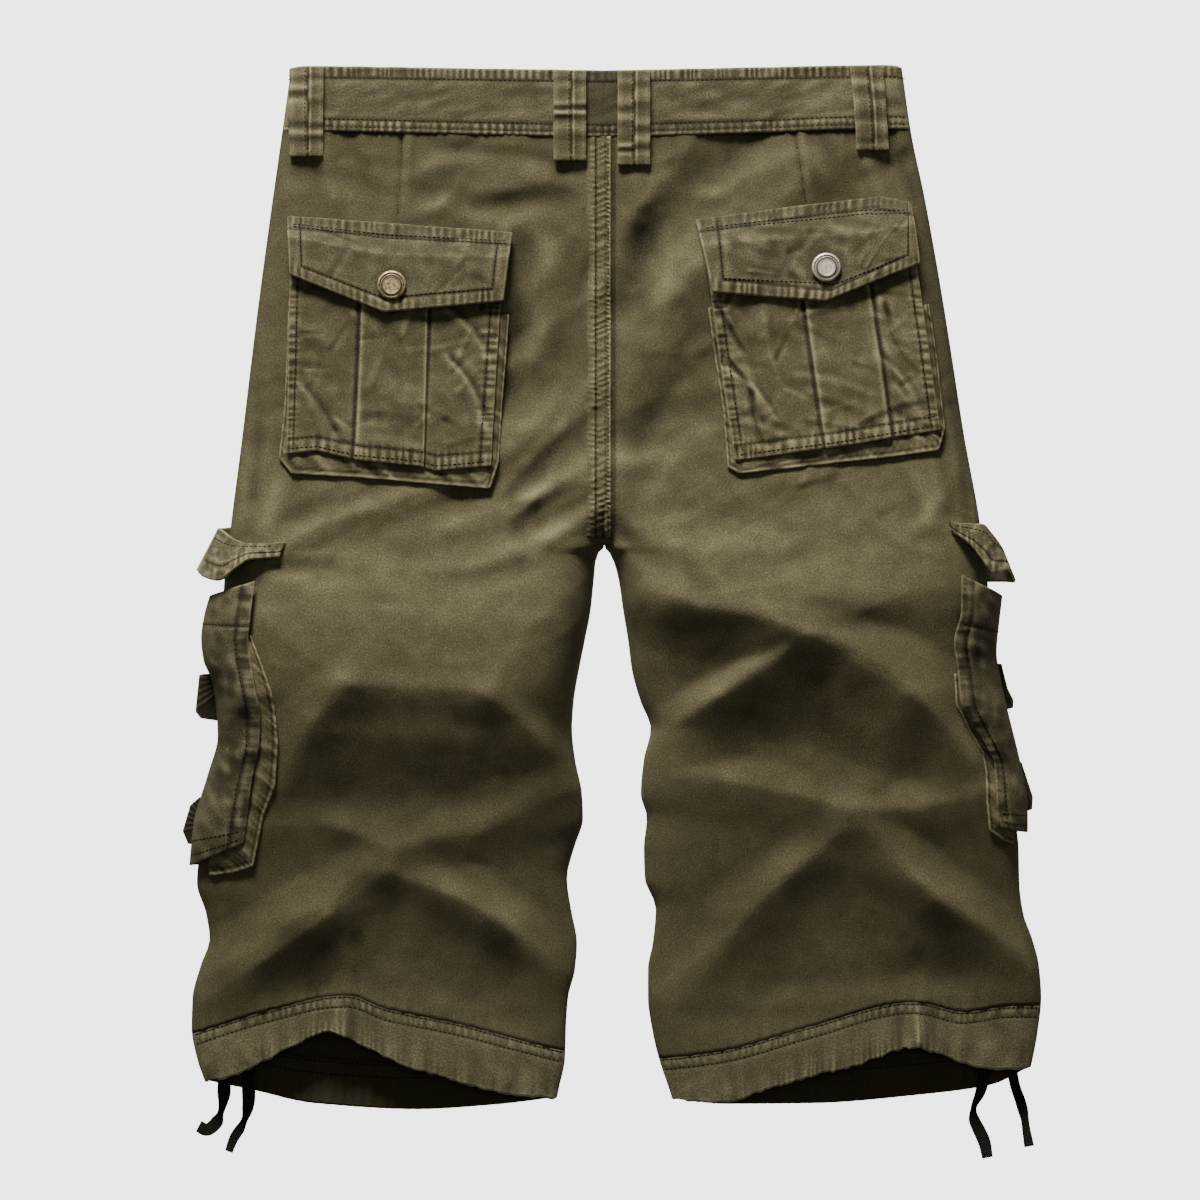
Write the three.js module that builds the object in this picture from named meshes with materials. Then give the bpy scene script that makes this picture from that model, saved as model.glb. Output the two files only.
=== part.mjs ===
import * as THREE from 'three';

// Cargo shorts lying flat on their front, so that the back faces up.
// The waist points along +Y, the wearer's left is -X, and Z is up from the surface.
// Every cloth piece is a thin wall: a grid of outer points, moved in along its normals.

// Driving dimensions, in millimetres
const BACK_CLOTH = 1.5;
const FRONT_CLOTH = 1.3;
const POCKET_CLOTH = 1.3;
const DOUBLE_CLOTH = 2.4;
const SEAM_GAP = 0.3;
const REST_GAP = 0.5;
const GUSSET_GAP = 0.9;
const LAP_GAP = 0.9;
const SIDE_SEAM_HEIGHT = 6.5;
const CROTCH = { x: -5, y: 27 };
const INSEAM_ROUND = 42;
const CROTCH_STRETCH = 0.8;
const SEAM_BLEND = 40;
const FRONT_EDGE_ROUND = 8;
const FRONT_BAND_DROP = 6;
const FRONT_HEM_DEPTH = 30;
const BAND_PROUD = 0.8;
const NORMAL_STEP = 0.8;

// Grid sizes: steps round an edge, steps across the flat middle and steps along the cloth
const EDGE_STEPS = 4;
const BACK_MIDDLE_STEPS = 10;
const FRONT_MIDDLE_STEPS = 5;
const SEAT_STEPS = 9;
const CROTCH_STEPS = 4;
const LEG_STEPS = 20;
const FRONT_STEPS = 21;
const HEM_STEPS = 3;
const GATHERED_HEM_STEPS = 2;
const BAND_STEPS = 3;

// Outer edge of the legs and seat, seen from above
const OUTLINE = [
  { y: 345, left: -212.5, right: 192 },
  { y: 300, left: -218.8, right: 198.6 },
  { y: 260, left: -224.5, right: 207 },
  { y: 200, left: -232.7, right: 217.8 },
  { y: 150, left: -239, right: 225.8 },
  { y: 100, left: -245, right: 233.6 },
  { y: 45, left: -252, right: 243.5 },
  { y: 0, left: -257, right: 249 },
  { y: -40, left: -258, right: 249.5 },
  { y: -75, left: -256.5, right: 252.5 },
  { y: -110, left: -255.5, right: 258 },
  { y: -140, left: -262, right: 264.5 },
  { y: -172, left: -272.5, right: 269.5 },
  { y: -195, left: -275, right: 270 },
  { y: -215, left: -269, right: 272.5 },
  { y: -232, left: -266.6, right: 278.5 },
  { y: -250, left: -272.6, right: 283 },
  { y: -271, left: -277.9, right: 284.5 },
  { y: -291, left: -278.5, right: 282.5 },
  { y: -311, left: -275, right: 279 },
  { y: -335, left: -266, right: 273 },
];

// Inner edge of the legs, from the crotch down
const INSEAM = [
  { y: 27, left: -5.15, right: -4.85 },
  { y: 22, left: -10.2, right: -0.5 },
  { y: 5, left: -12, right: 4.6 },
  { y: -14, left: -14, right: 7.3 },
  { y: -34, left: -17.8, right: 10.6 },
  { y: -54, left: -21.8, right: 13.2 },
  { y: -75, left: -25.3, right: 19 },
  { y: -93, left: -26.4, right: 25.7 },
  { y: -113, left: -24.4, right: 21.1 },
  { y: -136, left: -19.8, right: 19.1 },
  { y: -152, left: -19.1, right: 23.1 },
  { y: -172, left: -25.1, right: 21.1 },
  { y: -192, left: -29.7, right: 21.8 },
  { y: -212, left: -27.1, right: 29 },
  { y: -235, left: -23.1, right: 27 },
  { y: -252, left: -24.4, right: 23.8 },
  { y: -271, left: -29, right: 23.8 },
  { y: -291, left: -30.4, right: 26.4 },
  { y: -311, left: -31, right: 31 },
  { y: -331, left: -35, right: 37.6 },
  { y: -345, left: -38, right: 42 },
];

// Height of the back cloth above the surface, before its folds
const HEIGHT = [
  { y: 345, left: 17, right: 17 },
  { y: 300, left: 17, right: 17 },
  { y: 200, left: 20, right: 21 },
  { y: 120, left: 23, right: 24 },
  { y: 60, left: 29, right: 31 },
  { y: 20, left: 35.5, right: 37.5 },
  { y: -5, left: 40, right: 40 },
  { y: -30, left: 43, right: 37 },
  { y: -60, left: 43, right: 32 },
  { y: -90, left: 37.5, right: 28.5 },
  { y: -120, left: 31, right: 26.5 },
  { y: -145, left: 25.5, right: 25 },
  { y: -170, left: 22.5, right: 22.5 },
  { y: -200, left: 19.5, right: 19 },
  { y: -235, left: 16, right: 15.5 },
  { y: -262, left: 14.6, right: 14 },
  { y: -280, left: 14.6, right: 14 },
  { y: -305, left: 17.5, right: 16.5 },
  { y: -345, left: 20, right: 18.5 },
];

// How far in from the side seam the cloth rounds over
const SIDE_ROUND = [
  { y: -345, width: 44 },
  { y: -20, width: 44 },
  { y: 60, width: 38 },
  { y: 200, width: 28 },
  { y: 300, width: 19 },
  { y: 345, width: 15 },
];

// Fold ridges: a line from start to end, its sideways bow, its height at each end,
// its width up the leg and down the leg, and how soft its crest is
const FOLDS = {
  left: [
    { x0: -250, y0: 0, x1: -165, y1: -50, bow: -5, h0: 2, h1: 5, up: 60, down: 44, crest: 1.5 },
    { x0: -165, y0: -50, x1: -75, y1: -66, bow: -6, h0: 5, h1: 6, up: 80, down: 60, crest: 1.5 },
    { x0: -75, y0: -66, x1: -32, y1: -4, bow: 6, h0: 6, h1: 3, up: 60, down: 36, crest: 1.4 },
    { x0: -168, y0: -54, x1: -222, y1: -136, bow: 5, h0: 7, h1: 3, up: 34, down: 50, crest: 1.3 },
    { x0: -78, y0: -68, x1: -30, y1: -108, bow: 0, h0: 7, h1: 5, up: 24, down: 40, crest: 1.3 },
    { x0: -226, y0: -144, x1: -148, y1: -169, bow: 3, h0: 1, h1: 3.5, up: 24, down: 22, crest: 1.2 },
    { x0: -148, y0: -169, x1: -70, y1: -146, bow: -3, h0: 3.5, h1: 4, up: 24, down: 34, crest: 1.2 },
    { x0: -70, y0: -146, x1: -26, y1: -114, bow: -2, h0: 4, h1: 3, up: 22, down: 38, crest: 1.2 },
    { x0: -147, y0: -170, x1: -206, y1: -217, bow: -4, h0: 3, h1: 8, up: 24, down: 54, crest: 1.3 },
    { x0: -206, y0: -217, x1: -280, y1: -262, bow: -3, h0: 8, h1: 4, up: 26, down: 44, crest: 1.3 },
    { x0: -143, y0: -190, x1: -80, y1: -216, bow: 4, h0: 2, h1: 8, up: 22, down: 60, crest: 1.3 },
    { x0: -80, y0: -216, x1: -28, y1: -278, bow: 6, h0: 8, h1: 4, up: 26, down: 44, crest: 1.3 },
    { x0: -180, y0: -252, x1: -183, y1: -296, bow: 0, h0: 1, h1: 4, up: 12, down: 12, crest: 1.2 },
  ],
  right: [
    { x0: 6, y0: -1, x1: 118, y1: -24, bow: 2, h0: 8, h1: 12, up: 60, down: 38, crest: 1.4 },
    { x0: 118, y0: -24, x1: 196, y1: 0, bow: -2, h0: 12, h1: 2, up: 50, down: 40, crest: 1.5 },
    { x0: 120, y0: -24, x1: 196, y1: -67, bow: 5, h0: 12, h1: 11, up: 34, down: 64, crest: 1.3 },
    { x0: 196, y0: -67, x1: 236, y1: -128, bow: 6, h0: 11, h1: 4, up: 30, down: 44, crest: 1.3 },
    { x0: 122, y0: -30, x1: 90, y1: -54, bow: -2, h0: 11, h1: 9, up: 16, down: 50, crest: 1.3 },
    { x0: 90, y0: -54, x1: 20, y1: -102, bow: -1, h0: 9, h1: 4, up: 16, down: 44, crest: 1.3 },
    { x0: 20, y0: -120, x1: 95, y1: -130, bow: 2, h0: 2, h1: 2, up: 18, down: 30, crest: 1.2 },
    { x0: 95, y0: -130, x1: 157, y1: -145, bow: 1, h0: 2, h1: 3.5, up: 20, down: 30, crest: 1.2 },
    { x0: 157, y0: -145, x1: 246, y1: -132, bow: -4, h0: 3.5, h1: 3, up: 24, down: 36, crest: 1.2 },
    { x0: 156, y0: -148, x1: 92, y1: -208, bow: -5, h0: 3, h1: 4, up: 24, down: 50, crest: 1.3 },
    { x0: 92, y0: -208, x1: 34, y1: -282, bow: -5, h0: 4, h1: 3, up: 24, down: 44, crest: 1.3 },
    { x0: 158, y0: -148, x1: 212, y1: -204, bow: 3, h0: 3, h1: 9, up: 24, down: 60, crest: 1.3 },
    { x0: 212, y0: -204, x1: 282, y1: -258, bow: 4, h0: 9, h1: 5, up: 26, down: 44, crest: 1.3 },
    { x0: 200, y0: -256, x1: 202, y1: -298, bow: 0, h0: 1, h1: 4, up: 12, down: 12, crest: 1.2 },
  ],
  seat: [
    { x0: 140, y0: 300, x1: 20, y1: 150, bow: -5, h0: 4, h1: 2, up: 34, down: 30, crest: 1.8 },
    { x0: 20, y0: 150, x1: -4, y1: 40, bow: 0, h0: 2, h1: 4, up: 34, down: 30, crest: 1.8 },
  ],
};
const FOLD_END = 0.7;
const FOLD_FOOT = 1.4;
const FOLD_BLEND = 6;

// Small waves that the drawcord gathers along the edge of each back hem
const GATHERS = { count: 10, height: 1.4, steps: 4, uneven: 0.35, beat: 2.3 };

// Lines across each leg, from its outer edge (0) to its inner edge (1)
const HEM_SEAM = {
  left: [
    { at: 0, y: -294.7 }, { at: 0.21, y: -278.5 }, { at: 0.41, y: -268.5 }, { at: 0.52, y: -277.5 },
    { at: 0.71, y: -287 }, { at: 0.86, y: -296.5 }, { at: 1, y: -306 },
  ],
  right: [
    { at: 0, y: -276 }, { at: 0.08, y: -275.5 }, { at: 0.2, y: -279.5 }, { at: 0.325, y: -273 },
    { at: 0.59, y: -289 }, { at: 0.81, y: -304 }, { at: 1, y: -311 },
  ],
};
const HEM_EDGE = {
  left: [
    { at: 0, y: -326 }, { at: 0.1, y: -320 }, { at: 0.25, y: -303.5 }, { at: 0.37, y: -292 },
    { at: 0.45, y: -300 }, { at: 0.56, y: -313 }, { at: 0.72, y: -324.5 }, { at: 0.87, y: -333 }, { at: 1, y: -337 },
  ],
  right: [
    { at: 0, y: -317 }, { at: 0.1, y: -317.5 }, { at: 0.21, y: -310.5 }, { at: 0.33, y: -302.5 },
    { at: 0.48, y: -314.5 }, { at: 0.6, y: -321 }, { at: 0.75, y: -331 }, { at: 0.88, y: -338.5 }, { at: 1, y: -338 },
  ],
};
const FRONT_HEM_EDGE = {
  left: [
    { at: 0, y: -326 }, { at: 0.1, y: -331 }, { at: 0.3, y: -341 }, { at: 0.6, y: -345 },
    { at: 0.82, y: -342 }, { at: 1, y: -337 },
  ],
  right: [
    { at: 0, y: -317 }, { at: 0.1, y: -329 }, { at: 0.3, y: -335.5 }, { at: 0.6, y: -341 },
    { at: 0.85, y: -341.5 }, { at: 1, y: -338 },
  ],
};
const BAND_SEAM = {
  left: [{ at: 0, y: 302.6 }, { at: 1, y: 298 }],
  right: [{ at: 0, y: 303.9 }, { at: 1, y: 298 }],
};
const BAND_TOP = {
  left: [{ at: 0, y: 344 }, { at: 1, y: 341 }],
  right: [{ at: 0, y: 344.6 }, { at: 1, y: 341 }],
};

// The front cloth lies higher over the front half of each cargo pocket and over the waist button
const FRONT_LIFT = { height: 2.8, reach: 118, fade: 16, top: 48, bottom: -190 };
const WAIST_BUTTON = { x: 12, y: 321, radius: 8.5, thickness: 1.9 };
const BUTTON_LIFT = { height: 2.3, radius: 12, fade: 22 };
const BAND_LAP = { reach: 34, fade: 22 };
const FLY = { left: -27, right: 16, top: 294, bottom: 128 };

// Back pockets: corners of the face, the flap and the points of the gusset round the face
const BACK_POCKETS = {
  left: {
    faceTop: [{ x: -211.5, y: 227 }, { x: -72, y: 217 }],
    faceBottom: [
      { x: -213, y: 88.8 }, { x: -194, y: 90.5 }, { x: -168, y: 84.5 }, { x: -126, y: 80.5 },
      { x: -116, y: 77.5 }, { x: -79.5, y: 80.5 },
    ],
    pleats: [0.32, 0.66],
    flapTop: [{ x: -213.5, y: 245 }, { x: -66, y: 234 }],
    flapBottom: [{ x: -211, y: 206.3 }, { x: -149.8, y: 181.8 }, { x: -71.6, y: 189 }],
    flapPoint: 0.44,
    snap: { x: -144.5, y: 199 },
    gusset: [
      { xFace: -206, yFace: 190, xBase: -212.5, yBase: 190 },
      { xFace: -207, yFace: 150, xBase: -213.8, yBase: 150 },
      { xFace: -208, yFace: 118, xBase: -215, yBase: 118 },
      { xFace: -207, yFace: 97, xBase: -218.5, yBase: 86 },
      { xFace: -199, yFace: 95, xBase: -210, yBase: 75.6 },
      { xFace: -165, yFace: 90, xBase: -162, yBase: 72.6 },
      { xFace: -120, yFace: 84, xBase: -118, yBase: 68.8 },
      { xFace: -86, yFace: 86, xBase: -80, yBase: 65.5 },
      { xFace: -82, yFace: 96, xBase: -74.5, yBase: 83 },
      { xFace: -79, yFace: 120, xBase: -72.5, yBase: 120 },
      { xFace: -76.5, yFace: 150, xBase: -70, yBase: 150 },
      { xFace: -74.5, yFace: 180, xBase: -68, yBase: 180 },
    ],
  },
  right: {
    faceTop: [{ x: 60.5, y: 224 }, { x: 197, y: 237 }],
    faceBottom: [{ x: 80.9, y: 84.3 }, { x: 148, y: 93 }, { x: 215.4, y: 104.6 }],
    pleats: [0.44, 0.76],
    flapTop: [{ x: 55.4, y: 242.6 }, { x: 176, y: 258 }, { x: 197, y: 254 }],
    flapBottom: [{ x: 66.3, y: 194.4 }, { x: 140, y: 188.8 }, { x: 202, y: 214 }],
    flapPoint: 0.56,
    snap: { x: 140.4, y: 210.5 },
    gusset: [
      { xFace: 71, yFace: 186, xBase: 63.5, yBase: 184 },
      { xFace: 77, yFace: 150, xBase: 68.5, yBase: 148 },
      { xFace: 81, yFace: 118, xBase: 73.5, yBase: 116 },
      { xFace: 86, yFace: 93, xBase: 75.9, yBase: 79.5 },
      { xFace: 93, yFace: 90, xBase: 84, yBase: 75.5 },
      { xFace: 150, yFace: 98.5, xBase: 150, yBase: 83 },
      { xFace: 180, yFace: 103, xBase: 183, yBase: 86.5 },
      { xFace: 207, yFace: 108, xBase: 214.5, yBase: 91 },
      { xFace: 209, yFace: 115, xBase: 219, yBase: 105 },
      { xFace: 207, yFace: 150, xBase: 214.2, yBase: 151 },
      { xFace: 202, yFace: 185, xBase: 208.6, yBase: 187 },
    ],
  },
};
const POCKET_FACE_LIFT = 4.8;
const FLAP_LIFT = 6.4;
const FLAP_RISE_ENDS = 0.36;
const PLEAT_RAISE = 0.7;
const SNAP = { radius: 9.5, height: 2.4, rim: 0.9 };

// Cargo pockets: rows from the mouth down, from the rear edge on the back to the side
const CARGO_POCKETS = {
  left: {
    face: [
      { xIn: -233.2, yIn: 4.6, xOut: -266.5, yOut: -5 },
      { xIn: -236, yIn: -20, xOut: -270, yOut: -18 },
      { xIn: -237.2, yIn: -33, xOut: -272, yOut: -33 },
      { xIn: -235.5, yIn: -47, xOut: -270.5, yOut: -47 },
      { xIn: -233.2, yIn: -62, xOut: -265, yOut: -61 },
      { xIn: -230, yIn: -82, xOut: -262, yOut: -80 },
      { xIn: -230.7, yIn: -101, xOut: -261, yOut: -98 },
      { xIn: -236.1, yIn: -126, xOut: -268, yOut: -124 },
      { xIn: -239.6, yIn: -152, xOut: -277, yOut: -155 },
      { xIn: -242, yIn: -167, xOut: -280, yOut: -183 },
    ],
    gusset: [
      { xFace: -240.5, yFace: -36, xBase: -236, yBase: -31 },
      { xFace: -238, yFace: -50, xBase: -228.5, yBase: -50 },
      { xFace: -236, yFace: -67, xBase: -222.4, yBase: -67 },
      { xFace: -233.5, yFace: -84, xBase: -219.8, yBase: -84 },
      { xFace: -234.5, yFace: -101, xBase: -218.5, yBase: -101 },
      { xFace: -239.5, yFace: -128, xBase: -220.6, yBase: -129 },
      { xFace: -243, yFace: -149, xBase: -229, yBase: -149.5 },
      { xFace: -246, yFace: -163, xBase: -236, yBase: -183 },
      { xFace: -255, yFace: -169, xBase: -250, yBase: -187 },
      { xFace: -265, yFace: -174, xBase: -266, yBase: -189 },
    ],
    flap: [
      { xTop: -214.5, yTop: 30, xBottom: -217, yBottom: 21 },
      { xTop: -225, yTop: 29.3, xBottom: -226, yBottom: 20.5 },
      { xTop: -236.3, yTop: 29.4, xBottom: -236, yBottom: 20 },
      { xTop: -246, yTop: 31.5, xBottom: -247, yBottom: 13.5 },
      { xTop: -253.5, yTop: 35.5, xBottom: -258, yBottom: 6 },
      { xTop: -259, yTop: 39, xBottom: -269, yBottom: 8.5 },
      { xTop: -261, yTop: 40, xBottom: -275.2, yBottom: 12.9 },
    ],
    tabs: [
      [
        { x: -267.2, y: -56.4 }, { x: -273.5, y: -57 }, { x: -276, y: -81.5 }, { x: -272.5, y: -86 },
        { x: -262.1, y: -87.5 }, { x: -262.4, y: -80 }, { x: -265.3, y: -61.5 },
      ],
      [{ x: -273.5, y: -138.3 }, { x: -279.5, y: -143.6 }, { x: -284.5, y: -160.7 }, { x: -281, y: -169 }],
    ],
  },
  right: {
    face: [
      { xIn: 228.4, yIn: 8.5, xOut: 258.5, yOut: -5 },
      { xIn: 228.2, yIn: -15, xOut: 256.5, yOut: -22 },
      { xIn: 223.7, yIn: -35, xOut: 254.8, yOut: -42 },
      { xIn: 226.4, yIn: -54, xOut: 257.5, yOut: -60 },
      { xIn: 228, yIn: -73, xOut: 261.5, yOut: -78 },
      { xIn: 237.6, yIn: -91, xOut: 265.5, yOut: -94 },
      { xIn: 246.8, yIn: -105, xOut: 269, yOut: -108 },
      { xIn: 252.1, yIn: -117.5, xOut: 272, yOut: -122 },
      { xIn: 253.1, yIn: -140, xOut: 275.5, yOut: -142 },
      { xIn: 256.1, yIn: -157, xOut: 275.5, yOut: -161 },
    ],
    gusset: [
      { xFace: 232.5, yFace: -56, xBase: 224.5, yBase: -56 },
      { xFace: 234, yFace: -74, xBase: 225.5, yBase: -76 },
      { xFace: 243, yFace: -91, xBase: 235, yBase: -94 },
      { xFace: 252, yFace: -105, xBase: 243.5, yBase: -108 },
      { xFace: 256, yFace: -120, xBase: 246.2, yBase: -120 },
      { xFace: 257, yFace: -139, xBase: 246.6, yBase: -141 },
      { xFace: 259.5, yFace: -151, xBase: 248.5, yBase: -159 },
      { xFace: 262, yFace: -154, xBase: 258, yBase: -166 },
      { xFace: 265, yFace: -155, xBase: 265.5, yBase: -168 },
    ],
    flap: [
      { xTop: 220.8, yTop: 45.2, xBottom: 223.7, yBottom: 36.6 },
      { xTop: 225.5, yTop: 43, xBottom: 229.5, yBottom: 32.5 },
      { xTop: 234, yTop: 42.4, xBottom: 236.3, yBottom: 27.1 },
      { xTop: 243.3, yTop: 42.2, xBottom: 243.5, yBottom: 18 },
      { xTop: 250, yTop: 36, xBottom: 249.5, yBottom: 11 },
      { xTop: 256.7, yTop: 28.5, xBottom: 261, yBottom: 13 },
      { xTop: 260, yTop: 24, xBottom: 267.5, yBottom: 5 },
    ],
    tabs: [
      [{ x: 258.2, y: -50 }, { x: 262.2, y: -66 }, { x: 266, y: -73.6 }, { x: 266, y: -78.9 }, { x: 262.5, y: -80 }],
      [{ x: 271.5, y: -115 }, { x: 279, y: -138 }, { x: 278.5, y: -146 }, { x: 276.5, y: -147 }],
    ],
  },
};
const CARGO_FACE_LIFT = 5.6;
const CARGO_ROUND_SPARE = 10;
const CARGO_FRONT_REACH = 104;
const CARGO_FLAP_FLARE = 6;
const UNDER_ROUND = 6;
const TAB = { bottom: 5.3, thickness: 2.4 };

// Belt loops: middle of the top end and of the bottom end
const BELT_LOOPS = [
  { name: 'belt_loop_side_left', side: 'left', xTop: -200.6, yTop: 343.2, xBottom: -201, yBottom: 284.8 },
  { name: 'belt_loop_centre_left', side: 'left', xTop: -27.7, yTop: 340.6, xBottom: -27.7, yBottom: 282 },
  { name: 'belt_loop_centre_right', side: 'right', xTop: 14.5, yTop: 340.6, xBottom: 14.5, yBottom: 279 },
  { name: 'belt_loop_side_right', side: 'right', xTop: 167.6, yTop: 343.8, xBottom: 171.6, yBottom: 288.8 },
];
const LOOP = { width: 21, thickness: 2, stand: 1.4, steps: 8 };

// Drawcord ends: routes from inside the hem out over the surface
const CORD = { width: 7.4, thickness: 1.2, steps: 14 };
const CORD_ROUTES = {
  drawcord_left_a: [
    [-256.5, -314, 4.6], [-256.8, -322, 4.6], [-257.2, -330, 3.9], [-257.8, -338, 1.6],
    [-259.5, -347, 0.95], [-263, -355, 0.95], [-269, -359.5, 0.95], [-274.5, -357, 0.95],
  ],
  drawcord_left_b: [
    [-241.5, -316, 4.6], [-241.2, -325, 4.6], [-241, -333, 3.9], [-241.3, -341, 1.6],
    [-243, -350, 0.95], [-246.5, -358, 0.95], [-251, -365, 0.95], [-254.5, -374, 0.95],
  ],
  drawcord_right_a: [
    [246.5, -312, 4.6], [246.4, -320, 4.6], [246, -328, 3.9], [244, -336, 1.6], [240.5, -344, 0.95],
    [240.5, -352, 0.95], [244, -360, 0.95], [247.5, -368, 0.95], [249.5, -378, 0.95],
  ],
  drawcord_right_b: [
    [262.5, -306, 4.6], [264, -314, 4.6], [265.8, -322, 3.9], [268, -331, 1.6],
    [271.5, -341, 0.95], [274, -351, 0.95], [275.5, -361, 0.95], [277.2, -370.5, 0.95],
  ],
};

const OLIVE = 0x5b543b;
const OLIVE_DARK = 0x484230;
const OLIVE_BAND = 0x625b47;
const CORD_COLOUR = 0x25241a;
const BRASS = 0xa3937a;
const clothMaterial = (colour) => new THREE.MeshStandardMaterial({ color: colour, roughness: 0.92, metalness: 0 });
const cordMaterial = new THREE.MeshStandardMaterial({ color: CORD_COLOUR, roughness: 0.85, metalness: 0 });
const snapMaterial = new THREE.MeshStandardMaterial({ color: BRASS, roughness: 0.35, metalness: 1 });

const SIDES = ['left', 'right'];
const mix = (a, b, t) => a + (b - a) * t;
const clamp01 = (t) => Math.min(Math.max(t, 0), 1);
const smooth = (t) => clamp01(t) ** 2 * (3 - 2 * clamp01(t));
const inward = (side) => (side === 'left' ? 1 : -1);
const otherSide = (side) => (side === 'left' ? 'right' : 'left');

// Smooth curve through a table's rows that never swings past them
function curveAt(rows, key, value, at) {
  const list = rows[0][key] < rows[rows.length - 1][key] ? rows : [...rows].reverse();
  const last = list.length - 1;
  let i = 0;
  while (i < last - 1 && at > list[i + 1][key]) i += 1;
  const slope = (j) => (list[j + 1][value] - list[j][value]) / (list[j + 1][key] - list[j][key]);
  const tangent = (j) => {
    if (j === 0) return slope(0);
    if (j === last) return slope(last - 1);
    const before = slope(j - 1);
    const after = slope(j);
    return before * after <= 0 ? 0 : (2 * before * after) / (before + after);
  };
  const span = list[i + 1][key] - list[i][key];
  const s = clamp01((at - list[i][key]) / span);
  const start = list[i][value] * (2 * s ** 3 - 3 * s ** 2 + 1) + tangent(i) * span * (s ** 3 - 2 * s ** 2 + s);
  const end = list[i + 1][value] * (3 * s ** 2 - 2 * s ** 3) + tangent(i + 1) * span * (s ** 3 - s ** 2);
  return start + end;
}

// Straight-line path through points, at a share of its steps
function pathAt(points, t) {
  const place = clamp01(t) * (points.length - 1);
  const i = Math.min(Math.floor(place), points.length - 2);
  return { x: mix(points[i].x, points[i + 1].x, place - i), y: mix(points[i].y, points[i + 1].y, place - i) };
}

const outerX = (side, y) => curveAt(OUTLINE, 'y', side, y);
function innerX(side, y) {
  if (y >= CROTCH.y) return CROTCH.x - (inward(side) * SEAM_GAP) / 2;
  return curveAt(INSEAM, 'y', side, y);
}

// Quarter-round profile: 0 at an edge, 1 at a distance of its radius
function roundOver(distance, radius) {
  const t = clamp01(distance / radius);
  return Math.sqrt(1 - (1 - t) ** 2);
}

function inseamDistance(side, x, y) {
  if (y < CROTCH.y) return Math.abs(x - innerX(side, y));
  return Math.hypot(x - CROTCH.x, CROTCH_STRETCH * (y - CROTCH.y));
}

// Height that one fold ridge adds at a place
function foldHeight(fold, x, y) {
  const length = Math.hypot(fold.x1 - fold.x0, fold.y1 - fold.y0);
  const ux = (fold.x1 - fold.x0) / length;
  const uy = (fold.y1 - fold.y0) / length;
  const along = (x - fold.x0) * ux + (y - fold.y0) * uy;
  const turn = ux < 0 ? -1 : 1;
  const share = clamp01(along / length);
  const across = turn * ((y - fold.y0) * ux - (x - fold.x0) * uy) - fold.bow * 4 * share * (1 - share);
  const past = Math.max(-along, along - length, 0);
  const width = across > 0 ? fold.up : fold.down;
  const reach = clamp01(Math.hypot(across / width, past / (FOLD_END * (fold.up + fold.down))));
  return mix(fold.h0, fold.h1, share) * (1 - reach ** fold.crest) ** FOLD_FOOT;
}

// Ridges that meet join softly and don't add up
function foldsAt(side, x, y) {
  let sum = 0;
  for (const fold of FOLDS[side]) sum += Math.max(foldHeight(fold, x, y), 0) ** FOLD_BLEND;
  let height = sum ** (1 / FOLD_BLEND);
  for (const fold of FOLDS.seat) height += foldHeight(fold, x, y);
  return height;
}

// Near the centre seam the two halves share one height, so that they meet
function bodyHeight(side, x, y) {
  const heightOf = (half) => curveAt(HEIGHT, 'y', half, y) + foldsAt(half, x, y);
  const nearSeam = 1 - smooth(Math.abs(x - CROTCH.x) / SEAM_BLEND);
  const share = 0.5 * nearSeam * smooth((y - CROTCH.y) / SEAM_BLEND);
  return share > 0 ? mix(heightOf(side), heightOf(otherSide(side)), share) : heightOf(side);
}

// Outer surface of the back cloth
function backHeight(side, x, y) {
  const sideShare = roundOver(Math.abs(x - outerX(side, y)), curveAt(SIDE_ROUND, 'y', 'width', y));
  const inseamShare = roundOver(inseamDistance(side, x, y), INSEAM_ROUND);
  const seam = SIDE_SEAM_HEIGHT + SEAM_GAP / 2;
  return seam + (bodyHeight(side, x, y) - seam) * sideShare * inseamShare;
}

function frontLift(side, x, y) {
  const fromSide = Math.abs(x - outerX(side, y));
  const across = 1 - smooth((fromSide - FRONT_LIFT.reach) / FRONT_LIFT.fade);
  const along = smooth((FRONT_LIFT.top + FRONT_LIFT.fade - y) / FRONT_LIFT.fade)
    * smooth((y - FRONT_LIFT.bottom + FRONT_LIFT.fade) / FRONT_LIFT.fade);
  return FRONT_LIFT.height * across * along;
}

// Outer surface of the front cloth, which is its underside
function frontHeight(side, x, y) {
  const sideShare = roundOver(Math.abs(x - outerX(side, y)), FRONT_EDGE_ROUND);
  const inseamShare = roundOver(inseamDistance(side, x, y), FRONT_EDGE_ROUND);
  const lift = frontLift(side, x, y);
  return lift + (SIDE_SEAM_HEIGHT - SEAM_GAP / 2 - lift) * (1 - sideShare * inseamShare);
}

// Columns across a panel: close together where an edge rounds over
function columns(middleSteps) {
  const list = [];
  for (let i = 0; i <= EDGE_STEPS; i += 1) list.push({ edge: 'outer', angle: (i / EDGE_STEPS) * (Math.PI / 2) });
  for (let i = 1; i < middleSteps; i += 1) list.push({ edge: 'middle', share: i / middleSteps });
  for (let i = EDGE_STEPS; i >= 0; i -= 1) list.push({ edge: 'inner', angle: (i / EDGE_STEPS) * (Math.PI / 2) });
  return list;
}

function columnX(side, column, y, outerRound, innerRound) {
  const outer = outerX(side, y);
  const inner = innerX(side, y);
  const step = inward(side);
  if (column.edge === 'outer') return outer + step * outerRound * (1 - Math.cos(column.angle));
  if (column.edge === 'inner') return inner - step * innerRound * (1 - Math.cos(column.angle));
  return mix(outer + step * outerRound, inner - step * innerRound, column.share);
}

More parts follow.
